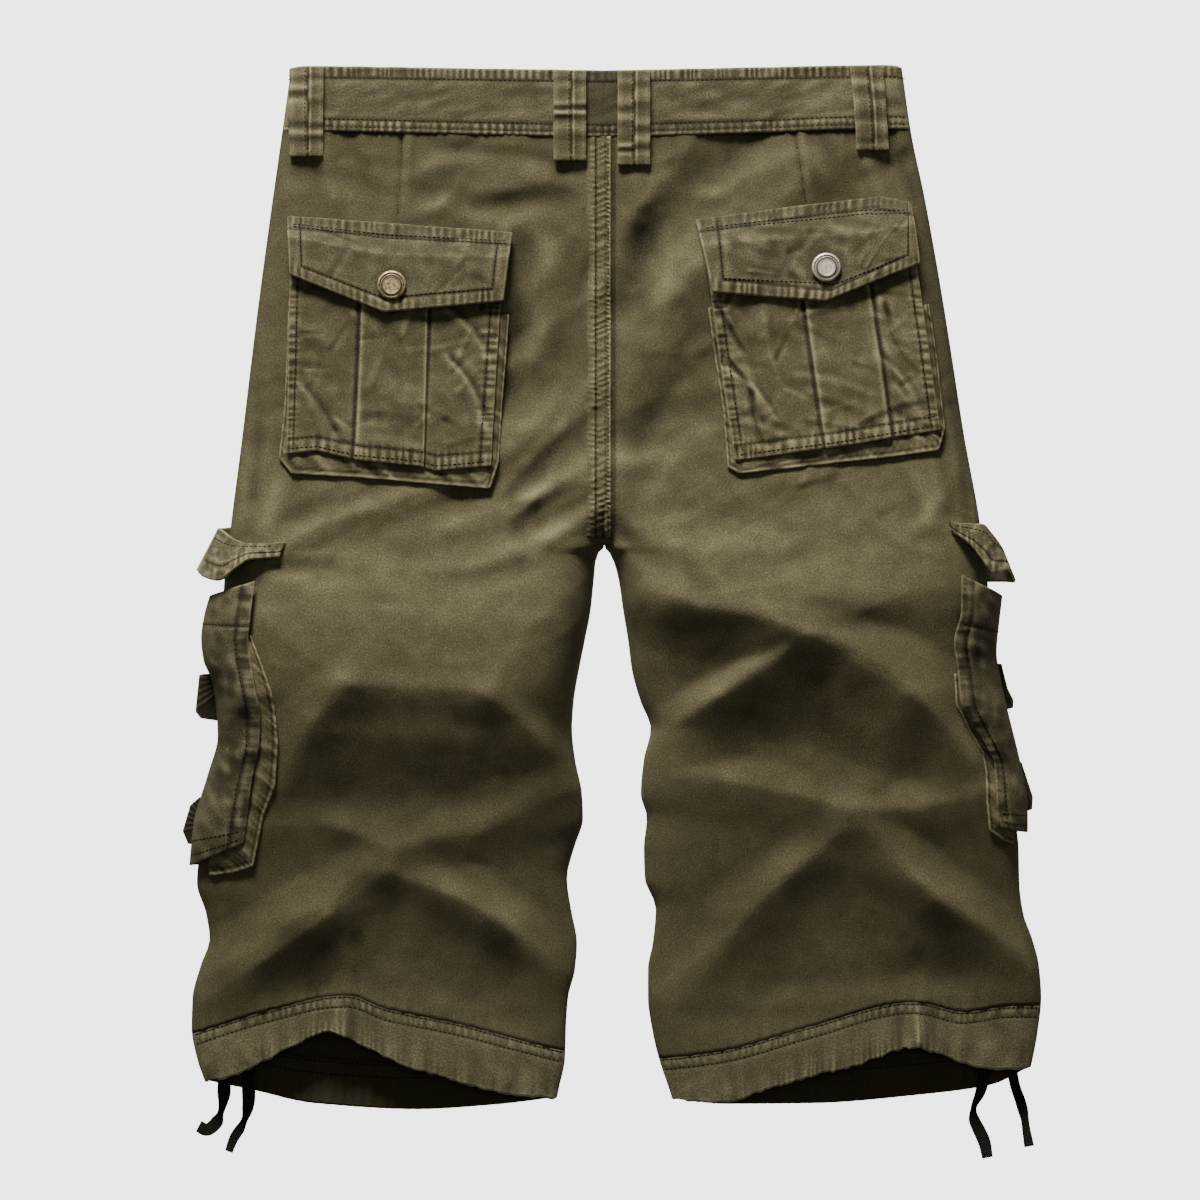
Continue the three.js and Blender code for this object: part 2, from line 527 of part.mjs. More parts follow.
// A grid of places on a panel between a top line and a bottom line
function panelGrid(side, columnList, shares, topLine, bottomLine, outerRound, innerRound) {
  return shares.map((share) => columnList.map((column) => {
    const guess = mix(topLine(0.5), bottomLine(0.5), share);
    const across = (columnX(side, column, guess, outerRound(guess), innerRound) - outerX(side, guess))
      / (innerX(side, guess) - outerX(side, guess));
    const y = mix(topLine(across), bottomLine(across), share);
    return { x: columnX(side, column, y, outerRound(y), innerRound), y };
  }));
}

const line = (table, side, shift) => (across) => curveAt(table[side], 'at', 'y', across) + shift;

// Normal of a height surface, pointing up
function surfaceNormal(height, x, y) {
  const alongX = height(x + NORMAL_STEP, y) - height(x - NORMAL_STEP, y);
  const alongY = height(x, y + NORMAL_STEP) - height(x, y - NORMAL_STEP);
  return new THREE.Vector3(-alongX, -alongY, 2 * NORMAL_STEP).normalize();
}

// Points and outward normals of a panel, facing up (1) or down (-1)
function panelSheet(side, grid, height, facing) {
  const lastColumn = grid[0].length - 1;
  const points = grid.map((row) => row.map(({ x, y }) => new THREE.Vector3(x, y, height(side, x, y))));
  const normals = grid.map((row) => row.map(({ x, y }, j) => {
    if (j === 0) return new THREE.Vector3(-inward(side), 0, 0);
    if (j === lastColumn && y < CROTCH.y - 1) return new THREE.Vector3(inward(side), 0, 0);
    if (j === lastColumn && y < CROTCH.y + 1) return new THREE.Vector3(inward(side), -1, 0).normalize();
    return surfaceNormal((px, py) => height(side, px, py), x, y).multiplyScalar(facing);
  }));
  return { points, normals };
}

// Normals worked out from the grid itself, for sheets that wrap round an edge
function gridNormals(points, facing) {
  const rows = points.length;
  const count = points[0].length;
  return points.map((row, i) => row.map((point, j) => {
    const down = points[Math.min(i + 1, rows - 1)][j].clone().sub(points[Math.max(i - 1, 0)][j]);
    const across = row[Math.min(j + 1, count - 1)].clone().sub(row[Math.max(j - 1, 0)]);
    return across.cross(down).normalize().multiplyScalar(facing);
  }));
}

// Closed wall between a sheet of outer points and the same points moved in
function wall(name, sheet, thickness, colour) {
  const { points, normals } = sheet;
  const rows = points.length;
  const count = points[0].length;
  const positions = [];
  for (const depth of [0, thickness]) {
    points.forEach((row, i) => row.forEach((point, j) => {
      const moved = point.clone().addScaledVector(normals[i][j], -depth);
      positions.push(moved.x, moved.y, moved.z);
    }));
  }
  const outer = (i, j) => i * count + j;
  const inner = (i, j) => rows * count + i * count + j;
  const index = [];
  const quad = (a, b, c, d) => index.push(a, b, c, a, c, d);
  for (let i = 0; i < rows - 1; i += 1) {
    for (let j = 0; j < count - 1; j += 1) {
      quad(outer(i, j), outer(i + 1, j), outer(i + 1, j + 1), outer(i, j + 1));
      quad(inner(i, j), inner(i, j + 1), inner(i + 1, j + 1), inner(i + 1, j));
    }
    quad(outer(i, 0), inner(i, 0), inner(i + 1, 0), outer(i + 1, 0));
    quad(outer(i, count - 1), outer(i + 1, count - 1), inner(i + 1, count - 1), inner(i, count - 1));
  }
  for (let j = 0; j < count - 1; j += 1) {
    quad(outer(0, j), outer(0, j + 1), inner(0, j + 1), inner(0, j));
    quad(outer(rows - 1, j), inner(rows - 1, j), inner(rows - 1, j + 1), outer(rows - 1, j + 1));
  }
  if (!facesOut(positions, index)) {
    for (let k = 0; k < index.length; k += 3) [index[k + 1], index[k + 2]] = [index[k + 2], index[k + 1]];
  }
  const geometry = new THREE.BufferGeometry();
  geometry.setAttribute('position', new THREE.Float32BufferAttribute(positions, 3));
  geometry.setIndex(index);
  geometry.computeVertexNormals();
  return named(name, geometry, clothMaterial(colour));
}

// The signed volume of a closed shell is positive when its faces point out
function facesOut(positions, index) {
  const corner = (k) => new THREE.Vector3().fromArray(positions, 3 * index[k]);
  let volume = 0;
  for (let k = 0; k < index.length; k += 3) volume += corner(k).dot(corner(k + 1).cross(corner(k + 2)));
  return volume > 0;
}

function named(name, geometry, material) {
  const mesh = new THREE.Mesh(geometry, material);
  mesh.name = name;
  return mesh;
}

const evenShares = (steps) => Array.from({ length: steps + 1 }, (_, i) => i / steps);

// Back panel rows: even down the seat, closer at the crotch, even down the leg
function backShares(top, bottom) {
  const roundTop = CROTCH.y + INSEAM_ROUND / CROTCH_STRETCH;
  const heights = [];
  for (let i = 0; i <= SEAT_STEPS; i += 1) heights.push(mix(top, roundTop, i / SEAT_STEPS));
  for (let i = 1; i <= CROTCH_STEPS; i += 1) {
    const angle = (1 - i / CROTCH_STEPS) * (Math.PI / 2);
    heights.push(CROTCH.y + (roundTop - CROTCH.y) * (1 - Math.cos(angle)));
  }
  heights.push(INSEAM[1].y);
  for (let i = 1; i <= LEG_STEPS; i += 1) heights.push(mix(INSEAM[1].y, bottom, i / LEG_STEPS));
  return heights.map((y) => (top - y) / (top - bottom));
}

const sideRound = (y) => curveAt(SIDE_ROUND, 'y', 'width', y);
const frontRound = () => FRONT_EDGE_ROUND;

function backGrid(side) {
  const top = line(BAND_SEAM, side, -SEAM_GAP / 2);
  const bottom = line(HEM_SEAM, side, SEAM_GAP / 2);
  return panelGrid(side, columns(BACK_MIDDLE_STEPS), backShares(top(1), bottom(1)), top, bottom, sideRound, INSEAM_ROUND);
}

const backSheets = {};
for (const side of SIDES) backSheets[side] = panelSheet(side, backGrid(side), backHeight, 1);

function frontPanel(side) {
  const bottom = line(FRONT_HEM_EDGE, side, FRONT_HEM_DEPTH);
  const grid = panelGrid(side, columns(FRONT_MIDDLE_STEPS), evenShares(FRONT_STEPS),
    line(BAND_SEAM, side, -SEAM_GAP / 2), bottom, frontRound, FRONT_EDGE_ROUND);
  return wall(`front_${side}`, panelSheet(side, grid, frontHeight, -1), FRONT_CLOTH, OLIVE);
}

// Waves along the middle of a sheet, from nothing at its first row to full height at its last
function gathered({ points, normals }) {
  const { count, height, steps, uneven, beat } = GATHERS;
  const rows = points.length - 1;
  const start = EDGE_STEPS;
  const end = points[0].length - 1 - EDGE_STEPS;
  const spread = (vectors, waves) => vectors.map((row, i) => row.flatMap((vector, j) => {
    if (j < start || j >= end) return [vector.clone()];
    return Array.from({ length: steps }, (_, k) => {
      const place = vector.clone().lerp(row[j + 1], k / steps);
      const along = (count * (j - start + k / steps)) / (end - start);
      const strength = 1 - uneven * (1 - Math.cos(beat * Math.floor(along)));
      const wave = (1 - Math.cos(2 * Math.PI * along)) / 2;
      if (waves) place.z += height * strength * wave * (i / rows);
      return place;
    });
  }));
  return { points: spread(points, true), normals: spread(normals, false) };
}

// Turned-up hems that the drawcord runs in
function hemBack(side) {
  const grid = panelGrid(side, columns(BACK_MIDDLE_STEPS), evenShares(GATHERED_HEM_STEPS),
    line(HEM_SEAM, side, -SEAM_GAP / 2), line(HEM_EDGE, side, 0), sideRound, INSEAM_ROUND);
  return wall(`hem_back_${side}`, gathered(panelSheet(side, grid, backHeight, 1)), DOUBLE_CLOTH, OLIVE);
}

function hemFront(side) {
  const grid = panelGrid(side, columns(FRONT_MIDDLE_STEPS), evenShares(HEM_STEPS),
    line(FRONT_HEM_EDGE, side, FRONT_HEM_DEPTH - SEAM_GAP), line(FRONT_HEM_EDGE, side, 0), frontRound, FRONT_EDGE_ROUND);
  return wall(`hem_front_${side}`, panelSheet(side, grid, frontHeight, -1), DOUBLE_CLOTH, OLIVE_DARK);
}

// Waistband half: from the centre back over the side and under to the centre front
function waistband(side) {
  const back = columns(BACK_MIDDLE_STEPS).filter((column) => column.edge !== 'inner').reverse();
  const step = inward(side);
  const other = otherSide(side);
  const lapEnd = CROTCH.x + step * (side === 'left' ? BAND_LAP.reach : SEAM_GAP);
  const centreX = CROTCH.x - (step * SEAM_GAP) / 2;
  const points = evenShares(BAND_STEPS).map((share) => {
    const row = [];
    const place = (x, y, z) => row.push(new THREE.Vector3(x, y, z));
    const heightAt = (across) => {
      const end = across > 1 ? other : side;
      const from = across > 1 ? across - 1 : 1 - across;
      return mix(bandLine(BAND_SEAM, end, from) + SEAM_GAP / 2, bandLine(BAND_TOP, end, from), share);
    };
    place(centreX, heightAt(1), bandHeight(side, centreX, heightAt(1)));
    for (const column of back) {
      const across = column.edge === 'middle' ? column.share : 0;
      const y = heightAt(across);
      const outer = outerX(side, y);
      const start = outer + step * sideRound(y);
      const x = column.edge === 'middle'
        ? mix(start, centreX, column.share)
        : outer + step * sideRound(y) * (1 - Math.cos(column.angle));
      place(x, y, bandHeight(side, x, y));
    }
    for (let i = 1; i <= EDGE_STEPS; i += 1) {
      const angle = (i / EDGE_STEPS) * (Math.PI / 2);
      const y = heightAt(0) - FRONT_BAND_DROP * share * (1 - Math.cos(angle));
      const x = outerX(side, y) + step * FRONT_EDGE_ROUND * (1 - Math.cos(angle));
      place(x, y, SIDE_SEAM_HEIGHT * (1 - Math.sin(angle)));
    }
    const frontSteps = 2 * BACK_MIDDLE_STEPS;
    for (let i = 1; i <= frontSteps; i += 1) {
      const edge = outerX(side, heightAt(0));
      const x = mix(edge + step * FRONT_EDGE_ROUND, lapEnd, i / frontSteps);
      const y = heightAt((x - edge) / (CROTCH.x - edge)) - FRONT_BAND_DROP * share;
      place(x, y, frontBandHeight(side, x, y));
    }
    return row;
  });
  return wall(`waistband_${side}`, { points, normals: gridNormals(points, -step) }, DOUBLE_CLOTH, OLIVE_BAND);
}

// Height up the garment of a band line, at a share of the way out from the centre
function bandLine(table, side, fromCentre) {
  return curveAt(table[side], 'at', 'y', 1 - fromCentre);
}

function bandHeight(side, x, y) {
  return backHeight(side, x, y) + BAND_PROUD * roundOver(Math.abs(x - outerX(side, y)), sideRound(y));
}

// The left end laps under the right one, and both clear the waist button
function frontBandHeight(side, x, y) {
  const fromButton = Math.hypot(x - WAIST_BUTTON.x, y - WAIST_BUTTON.y);
  const clearButton = BUTTON_LIFT.height * (1 - smooth((fromButton - BUTTON_LIFT.radius) / BUTTON_LIFT.fade));
  if (side === 'left') return clearButton;
  const lap = (DOUBLE_CLOTH + LAP_GAP) * (1 - smooth((x - CROTCH.x - BAND_LAP.reach - 2) / BAND_LAP.fade));
  return clearButton + lap;
}

// Height of the back cloth's own facets, so that what lies on it clears them
function facetHeight(side, x, y) {
  const { points } = backSheets[side];
  for (let i = 0; i < points.length - 1; i += 1) {
    for (let j = 0; j < points[0].length - 1; j += 1) {
      const a = points[i][j];
      const c = points[i + 1][j + 1];
      for (const b of [points[i + 1][j], points[i][j + 1]]) {
        const area = (b.x - a.x) * (c.y - a.y) - (c.x - a.x) * (b.y - a.y);
        const s = ((x - a.x) * (c.y - a.y) - (c.x - a.x) * (y - a.y)) / area;
        const t = ((b.x - a.x) * (y - a.y) - (x - a.x) * (b.y - a.y)) / area;
        if (s >= -1e-6 && t >= -1e-6 && s + t <= 1 + 1e-6) return a.z + s * (b.z - a.z) + t * (c.z - a.z);
      }
    }
  }
  return backHeight(side, x, y);
}

// Box-pleated face of a back pocket, standing off the panel
function backPocketFace(side) {
  const pocket = BACK_POCKETS[side];
  const [left, right] = pocket.pleats;
  const fold = 0.02;
  const across = [0, 0.05, 0.16, left - fold, left + fold, (left + right) / 2, right - fold, right + fold,
    (1 + right) / 2, 0.95, 1];
  const points = evenShares(10).map((share) => across.map((u) => {
    const top = pathAt(pocket.faceTop, u);
    const bottom = pathAt(pocket.faceBottom, u);
    const x = mix(top.x, bottom.x, share);
    const y = mix(top.y, bottom.y, share);
    const inPleat = u > left && u < right ? PLEAT_RAISE : 0;
    const crown = 0.8 * Math.sin(Math.PI * u) * Math.sin(Math.PI * share);
    return new THREE.Vector3(x, y, facetHeight(side, x, y) + POCKET_FACE_LIFT + inPleat + crown);
  }));
  return wall(`back_pocket_${side}`, { points, normals: gridNormals(points, -1) }, POCKET_CLOTH, OLIVE);
}

function backPocketFlap(side) {
  const pocket = BACK_POCKETS[side];
  const mid = pocket.flapPoint;
  const across = [...evenShares(5).map((t) => mid * t), ...evenShares(5).slice(1).map((t) => mix(mid, 1, t))];
  const points = [0, 0.18, FLAP_RISE_ENDS, 0.58, 0.8, 1].map((share) => across.map((u) => {
    const top = pathAt(pocket.flapTop, u);
    const bottomShare = u < mid ? (0.5 * u) / mid : 0.5 + (0.5 * (u - mid)) / (1 - mid);
    const bottom = pathAt(pocket.flapBottom, bottomShare);
    const x = mix(top.x, bottom.x, share);
    const y = mix(top.y, bottom.y, share);
    const lift = DOUBLE_CLOTH + REST_GAP + FLAP_LIFT * smooth(share / FLAP_RISE_ENDS);
    return new THREE.Vector3(x, y, facetHeight(side, x, y) + lift);
  }));
  return wall(`back_pocket_flap_${side}`, { points, normals: gridNormals(points, -1) }, DOUBLE_CLOTH, OLIVE);
}

// Folded strip that stands a pocket's face off the panel
function gusset(name, side, stations, faceLift, facing) {
  const clear = POCKET_CLOTH + GUSSET_GAP;
  const faceLine = stations.map(({ xFace, yFace }) => ({ x: xFace, y: yFace }));
  const baseLine = stations.map(({ xBase, yBase }) => ({ x: xBase, y: yBase }));
  const points = evenShares(3 * (stations.length - 1)).map((along) => [0, 0.35, 0.7, 1].map((share) => {
    const face = pathAt(faceLine, along);
    const base = pathAt(baseLine, along);
    const x = mix(face.x, base.x, share);
    const y = mix(face.y, base.y, share);
    const rise = (faceLift - POCKET_CLOTH - REST_GAP - clear) * (1 - smooth(share / 0.7));
    return new THREE.Vector3(x, y, facetHeight(side, x, y) + clear + rise);
  }));
  return wall(name, { points, normals: gridNormals(points, facing) }, POCKET_CLOTH, OLIVE_DARK);
}

function snap(side) {
  const { x, y } = BACK_POCKETS[side].snap;
  const { radius, height, rim } = SNAP;
  const profile = [[0, 0], [radius - 0.6, 0], [radius, 0.5], [radius, rim], [radius - 1.2, height],
    [radius - 2.6, height - 0.5], [radius - 5, height - 0.1], [0, height + 0.1]];
  const geometry = new THREE.LatheGeometry(profile.map(([r, z]) => new THREE.Vector2(r, z)), 18);
  geometry.rotateX(Math.PI / 2);
  const mesh = named(`back_pocket_snap_${side}`, geometry, snapMaterial);
  const surface = (px, py) => facetHeight(side, px, py) + DOUBLE_CLOTH + REST_GAP + FLAP_LIFT;
  const slopeX = (surface(x + radius, y) - surface(x - radius, y)) / (2 * radius);
  const slopeY = (surface(x, y + radius) - surface(x, y - radius)) / (2 * radius);
  const up = new THREE.Vector3(-slopeX, -slopeY, 1).normalize();
  mesh.quaternion.setFromUnitVectors(new THREE.Vector3(0, 0, 1), up);
  mesh.position.set(x, y, surface(x, y)).addScaledVector(up, REST_GAP);
  return mesh;
}

// Underside of a piece that wraps the side: round the edge, then flat under the front
function wrapUnder(row, side, xOut, y, reach) {
  const step = inward(side);
  for (let i = 1; i <= 3; i += 1) {
    const angle = (i / 3) * (Math.PI / 2);
    row.push(new THREE.Vector3(xOut + step * UNDER_ROUND * (1 - Math.cos(angle)), y, SIDE_SEAM_HEIGHT * (1 - Math.sin(angle))));
  }
  for (const share of [0.5, 1]) row.push(new THREE.Vector3(xOut + step * mix(UNDER_ROUND, reach, share), y, 0));
}

function cargoPocketFace(side) {
  const points = CARGO_POCKETS[side].face.map((station) => {
    const row = [];
    const span = Math.abs(station.xOut - station.xIn);
    const round = span + CARGO_ROUND_SPARE;
    const startAngle = Math.acos(1 - span / round);
    const top = facetHeight(side, station.xIn, station.yIn) + CARGO_FACE_LIFT;
    for (let i = 0; i <= 6; i += 1) {
      const angle = startAngle * (1 - i / 6);
      const share = (round * (1 - Math.cos(angle))) / span;
      const x = mix(station.xOut, station.xIn, share);
      const y = mix(station.yOut, station.yIn, share);
      const arc = SIDE_SEAM_HEIGHT + (top - SIDE_SEAM_HEIGHT) * (Math.sin(angle) / Math.sin(startAngle));
      const inside = (x - outerX(side, y)) * inward(side) > 0;
      const least = inside ? facetHeight(side, x, y) + POCKET_CLOTH + 2 * REST_GAP : 0;
      row.push(new THREE.Vector3(x, y, Math.max(arc, least)));
    }
    wrapUnder(row, side, station.xOut, station.yOut, CARGO_FRONT_REACH);
    return row;
  });
  return wall(`cargo_pocket_${side}`, { points, normals: gridNormals(points, inward(side)) }, POCKET_CLOTH, OLIVE);
}

function cargoPocketFlap(side) {
  const stations = CARGO_POCKETS[side].flap;
  const tip = stations[0];
  const outer = stations[stations.length - 1];
  const points = [0, 0.35, 0.7, 1].map((share) => {
    const row = [];
    const xTip = mix(tip.xTop, tip.xBottom, share);
    const xOut = mix(outer.xTop, outer.xBottom, share);
    const yOut = mix(outer.yTop, outer.yBottom, share);
    const start = facetHeight(side, xTip, mix(tip.yTop, tip.yBottom, share)) + DOUBLE_CLOTH + REST_GAP;
    for (const station of stations) {
      const x = mix(station.xTop, station.xBottom, share);
      const y = mix(station.yTop, station.yBottom, share);
      const round = roundOver(Math.abs(x - xOut), Math.abs(xTip - xOut));
      const flare = CARGO_FLAP_FLARE * share * Math.sin(Math.PI * clamp01(Math.abs(x - xTip) / Math.abs(xOut - xTip)));
      row.push(new THREE.Vector3(x, y, SIDE_SEAM_HEIGHT + (start - SIDE_SEAM_HEIGHT) * round + flare));
    }
    wrapUnder(row, side, xOut, yOut, CARGO_FRONT_REACH);
    return row;
  });
  return wall(`cargo_flap_${side}`, { points, normals: gridNormals(points, inward(side)) }, DOUBLE_CLOTH, OLIVE);
}

// Strap ends that stick out at the outer edge of a cargo pocket
function cargoTabs(side) {
  return CARGO_POCKETS[side].tabs.map((corners, i) => {
    const shape = new THREE.Shape(corners.map(({ x, y }) => new THREE.Vector2(x, y)));
    const geometry = new THREE.ExtrudeGeometry(shape, { depth: TAB.thickness, bevelEnabled: false });
    const mesh = named(`cargo_tab_${i === 0 ? 'upper' : 'lower'}_${side}`, geometry, clothMaterial(OLIVE_DARK));
    mesh.position.z = TAB.bottom;
    return mesh;
  });
}

function beltLoop(loop) {
  const { side } = loop;
  const surface = (x, y) => bandHeight(side, x, y);
  const points = evenShares(LOOP.steps).map((share) => [-0.5, -0.3, 0, 0.3, 0.5].map((across) => {
    const x = mix(loop.xTop, loop.xBottom, share) + across * LOOP.width;
    const y = mix(loop.yTop, loop.yBottom, share);
    const stand = LOOP.stand * Math.sin(Math.PI * share) + REST_GAP + LOOP.thickness;
    return new THREE.Vector3(x, y, surface(x, y)).addScaledVector(surfaceNormal(surface, x, y), stand);
  }));
  return wall(loop.name, { points, normals: gridNormals(points, -1) }, LOOP.thickness, OLIVE);
}

// Flat ribbon: a wide section swept along its route
function drawcord(name, route) {
  const section = new THREE.Shape();
  const halfThick = CORD.thickness / 2;
  const halfWide = CORD.width / 2;
  const corner = halfThick / 2;
  section.moveTo(-halfThick + corner, -halfWide);
  section.lineTo(halfThick - corner, -halfWide);
  section.lineTo(halfThick, -halfWide + corner);
  section.lineTo(halfThick, halfWide - corner);
  section.lineTo(halfThick - corner, halfWide);
  section.lineTo(-halfThick + corner, halfWide);
  section.lineTo(-halfThick, halfWide - corner);
  section.lineTo(-halfThick, -halfWide + corner);
  const curve = new THREE.CatmullRomCurve3(route.map(([x, y, z]) => new THREE.Vector3(x, y, z)));
  const geometry = new THREE.ExtrudeGeometry(section, { steps: CORD.steps, extrudePath: curve });
  return named(name, geometry, cordMaterial);
}

// Strip inside the fly opening, lying on the two front panels
function flyShield() {
  const points = evenShares(3).map((share) => [0, 0.33, 0.67, 1].map((u) => new THREE.Vector3(
    mix(FLY.left, FLY.right, u), mix(FLY.top, FLY.bottom, share), FRONT_CLOTH + REST_GAP,
  )));
  return wall('fly_shield', { points, normals: gridNormals(points, 1) }, FRONT_CLOTH, OLIVE_DARK);
}

function waistButton() {
  const { x, y, radius, thickness } = WAIST_BUTTON;
  const profile = [[0, 0], [radius - 0.5, 0], [radius, 0.5], [radius, thickness - 0.5], [radius - 0.5, thickness], [0, thickness]];
  const geometry = new THREE.LatheGeometry(profile.map(([r, z]) => new THREE.Vector2(r, z)), 20);
  geometry.rotateX(Math.PI / 2);
  const mesh = named('waist_button', geometry, snapMaterial);
  mesh.position.set(x, y, 0);
  return mesh;
}

const shorts = new THREE.Group();
for (const side of SIDES) {
  shorts.add(wall(`back_${side}`, backSheets[side], BACK_CLOTH, OLIVE));
  shorts.add(frontPanel(side));
  shorts.add(hemBack(side));
  shorts.add(hemFront(side));
  shorts.add(waistband(side));
  shorts.add(backPocketFace(side));
  shorts.add(gusset(`back_pocket_gusset_${side}`, side, BACK_POCKETS[side].gusset, POCKET_FACE_LIFT, 1));
  shorts.add(backPocketFlap(side));
  shorts.add(snap(side));
  shorts.add(cargoPocketFace(side));
  shorts.add(gusset(`cargo_gusset_${side}`, side, CARGO_POCKETS[side].gusset, CARGO_FACE_LIFT, -inward(side)));
  shorts.add(cargoPocketFlap(side));
  shorts.add(...cargoTabs(side));
}
for (const loop of BELT_LOOPS) shorts.add(beltLoop(loop));
for (const [name, route] of Object.entries(CORD_ROUTES)) shorts.add(drawcord(name, route));
shorts.add(flyShield());
shorts.add(waistButton());

export default shorts;
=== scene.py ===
import math

import bmesh
import bpy
import numpy as np
from mathutils import Matrix, Vector


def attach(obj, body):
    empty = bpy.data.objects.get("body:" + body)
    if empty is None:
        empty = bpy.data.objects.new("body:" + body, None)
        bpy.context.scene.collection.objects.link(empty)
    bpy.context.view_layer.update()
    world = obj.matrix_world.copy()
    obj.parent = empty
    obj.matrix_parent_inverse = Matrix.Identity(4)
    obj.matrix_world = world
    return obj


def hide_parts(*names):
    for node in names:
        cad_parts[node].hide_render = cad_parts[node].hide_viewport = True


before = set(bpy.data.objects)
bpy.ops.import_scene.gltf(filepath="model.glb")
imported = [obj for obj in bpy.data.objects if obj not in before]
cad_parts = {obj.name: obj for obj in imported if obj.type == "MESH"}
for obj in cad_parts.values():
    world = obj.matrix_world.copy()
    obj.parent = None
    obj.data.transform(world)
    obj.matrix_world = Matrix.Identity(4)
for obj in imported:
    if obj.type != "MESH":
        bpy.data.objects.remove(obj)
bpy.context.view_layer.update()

# Cargo shorts lying flat, back side up: waist along +Y, the wearer's left at -X.
# Places and sizes in the tables are millimetres; meshes are made in metres.
MM = 0.001
SIDES = ("left", "right")
INWARD = {"left": 1, "right": -1}
OTHER = {"left": "right", "right": "left"}

BACK_CLOTH = 1.5
FRONT_CLOTH = 1.3
POCKET_CLOTH = 1.3
DOUBLE_CLOTH = 2.4
SEAM_GAP = 0.3
REST_GAP = 0.5
GUSSET_GAP = 0.9
LAP_GAP = 0.9
SIDE_SEAM_HEIGHT = 6.5
CROTCH = (-5.0, 27.0)
INSEAM_ROUND = 42
CROTCH_STRETCH = 0.8
SEAM_BLEND = 40
FRONT_EDGE_ROUND = 8
FRONT_BAND_DROP = 6
FRONT_HEM_DEPTH = 30
BAND_PROUD = 0.8

# Outer edge of the legs and seat seen from above: y, left, right
OUTLINE = (
    (345, -212.5, 192), (300, -218.8, 198.6), (260, -224.5, 207), (200, -232.7, 217.8),
    (150, -239, 225.8), (100, -245, 233.6), (45, -252, 243.5), (0, -257, 249),
    (-40, -258, 249.5), (-75, -256.5, 252.5), (-110, -255.5, 258), (-140, -262, 264.5),
    (-172, -272.5, 269.5), (-195, -275, 270), (-215, -269, 272.5), (-232, -266.6, 278.5),
    (-250, -272.6, 283), (-271, -277.9, 284.5), (-291, -278.5, 282.5), (-311, -275, 279),
    (-335, -266, 273),
)

# Inner edge of the legs from the crotch down: y, left, right
INSEAM = (
    (27, -5.15, -4.85), (22, -10.2, -0.5), (5, -12, 4.6), (-14, -14, 7.3),
    (-34, -17.8, 10.6), (-54, -21.8, 13.2), (-75, -25.3, 19), (-93, -26.4, 25.7),
    (-113, -24.4, 21.1), (-136, -19.8, 19.1), (-152, -19.1, 23.1), (-172, -25.1, 21.1),
    (-192, -29.7, 21.8), (-212, -27.1, 29), (-235, -23.1, 27), (-252, -24.4, 23.8),
    (-271, -29, 23.8), (-291, -30.4, 26.4), (-311, -31, 31), (-331, -35, 37.6),
    (-345, -38, 42),
)

# Height of the back cloth above the surface before its folds: y, left, right
HEIGHT = (
    (345, 17, 17), (300, 17, 17), (200, 20, 21), (120, 23, 24), (60, 29, 31), (20, 35.5, 37.5),
    (-5, 40, 40), (-30, 43, 37), (-60, 43, 32), (-90, 37.5, 28.5), (-120, 31, 26.5),
    (-145, 25.5, 25), (-170, 22.5, 22.5), (-200, 19.5, 19), (-235, 16, 15.5), (-262, 14.6, 14),
    (-280, 14.6, 14), (-305, 17.5, 16.5), (-345, 20, 18.5),
)

# How far in from the side seam the cloth rounds over: y, width
SIDE_ROUND = ((-345, 44), (-20, 44), (60, 38), (200, 28), (300, 19), (345, 15))

# Fold ridges: x0, y0, x1, y1, sideways bow, height at each end, width up and down, crest
FOLDS = {
    "left": (
        (-250, 0, -165, -50, -5, 2, 5, 60, 44, 1.5),
        (-165, -50, -75, -66, -6, 5, 6, 80, 60, 1.5),
        (-75, -66, -32, -4, 6, 6, 3, 60, 36, 1.4),
        (-168, -54, -222, -136, 5, 7, 3, 34, 50, 1.3),
        (-78, -68, -30, -108, 0, 7, 5, 24, 40, 1.3),
        (-226, -144, -148, -169, 3, 1, 3.5, 24, 22, 1.2),
        (-148, -169, -70, -146, -3, 3.5, 4, 24, 34, 1.2),
        (-70, -146, -26, -114, -2, 4, 3, 22, 38, 1.2),
        (-147, -170, -206, -217, -4, 3, 8, 24, 54, 1.3),
        (-206, -217, -280, -262, -3, 8, 4, 26, 44, 1.3),
        (-143, -190, -80, -216, 4, 2, 8, 22, 60, 1.3),
        (-80, -216, -28, -278, 6, 8, 4, 26, 44, 1.3),
        (-180, -252, -183, -296, 0, 1, 4, 12, 12, 1.2),
    ),
    "right": (
        (6, -1, 118, -24, 2, 8, 12, 60, 38, 1.4),
        (118, -24, 196, 0, -2, 12, 2, 50, 40, 1.5),
        (120, -24, 196, -67, 5, 12, 11, 34, 64, 1.3),
        (196, -67, 236, -128, 6, 11, 4, 30, 44, 1.3),
        (122, -30, 90, -54, -2, 11, 9, 16, 50, 1.3),
        (90, -54, 20, -102, -1, 9, 4, 16, 44, 1.3),
        (20, -120, 95, -130, 2, 2, 2, 18, 30, 1.2),
        (95, -130, 157, -145, 1, 2, 3.5, 20, 30, 1.2),
        (157, -145, 246, -132, -4, 3.5, 3, 24, 36, 1.2),
        (156, -148, 92, -208, -5, 3, 4, 24, 50, 1.3),
        (92, -208, 34, -282, -5, 4, 3, 24, 44, 1.3),
        (158, -148, 212, -204, 3, 3, 9, 24, 60, 1.3),
        (212, -204, 282, -258, 4, 9, 5, 26, 44, 1.3),
        (200, -256, 202, -298, 0, 1, 4, 12, 12, 1.2),
    ),
    "seat": (
        (140, 300, 20, 150, -5, 4, 2, 34, 30, 1.8),
        (20, 150, -4, 40, 0, 2, 4, 34, 30, 1.8),
    ),
}
FOLD_END = 0.7
FOLD_FOOT = 1.4
FOLD_BLEND = 6
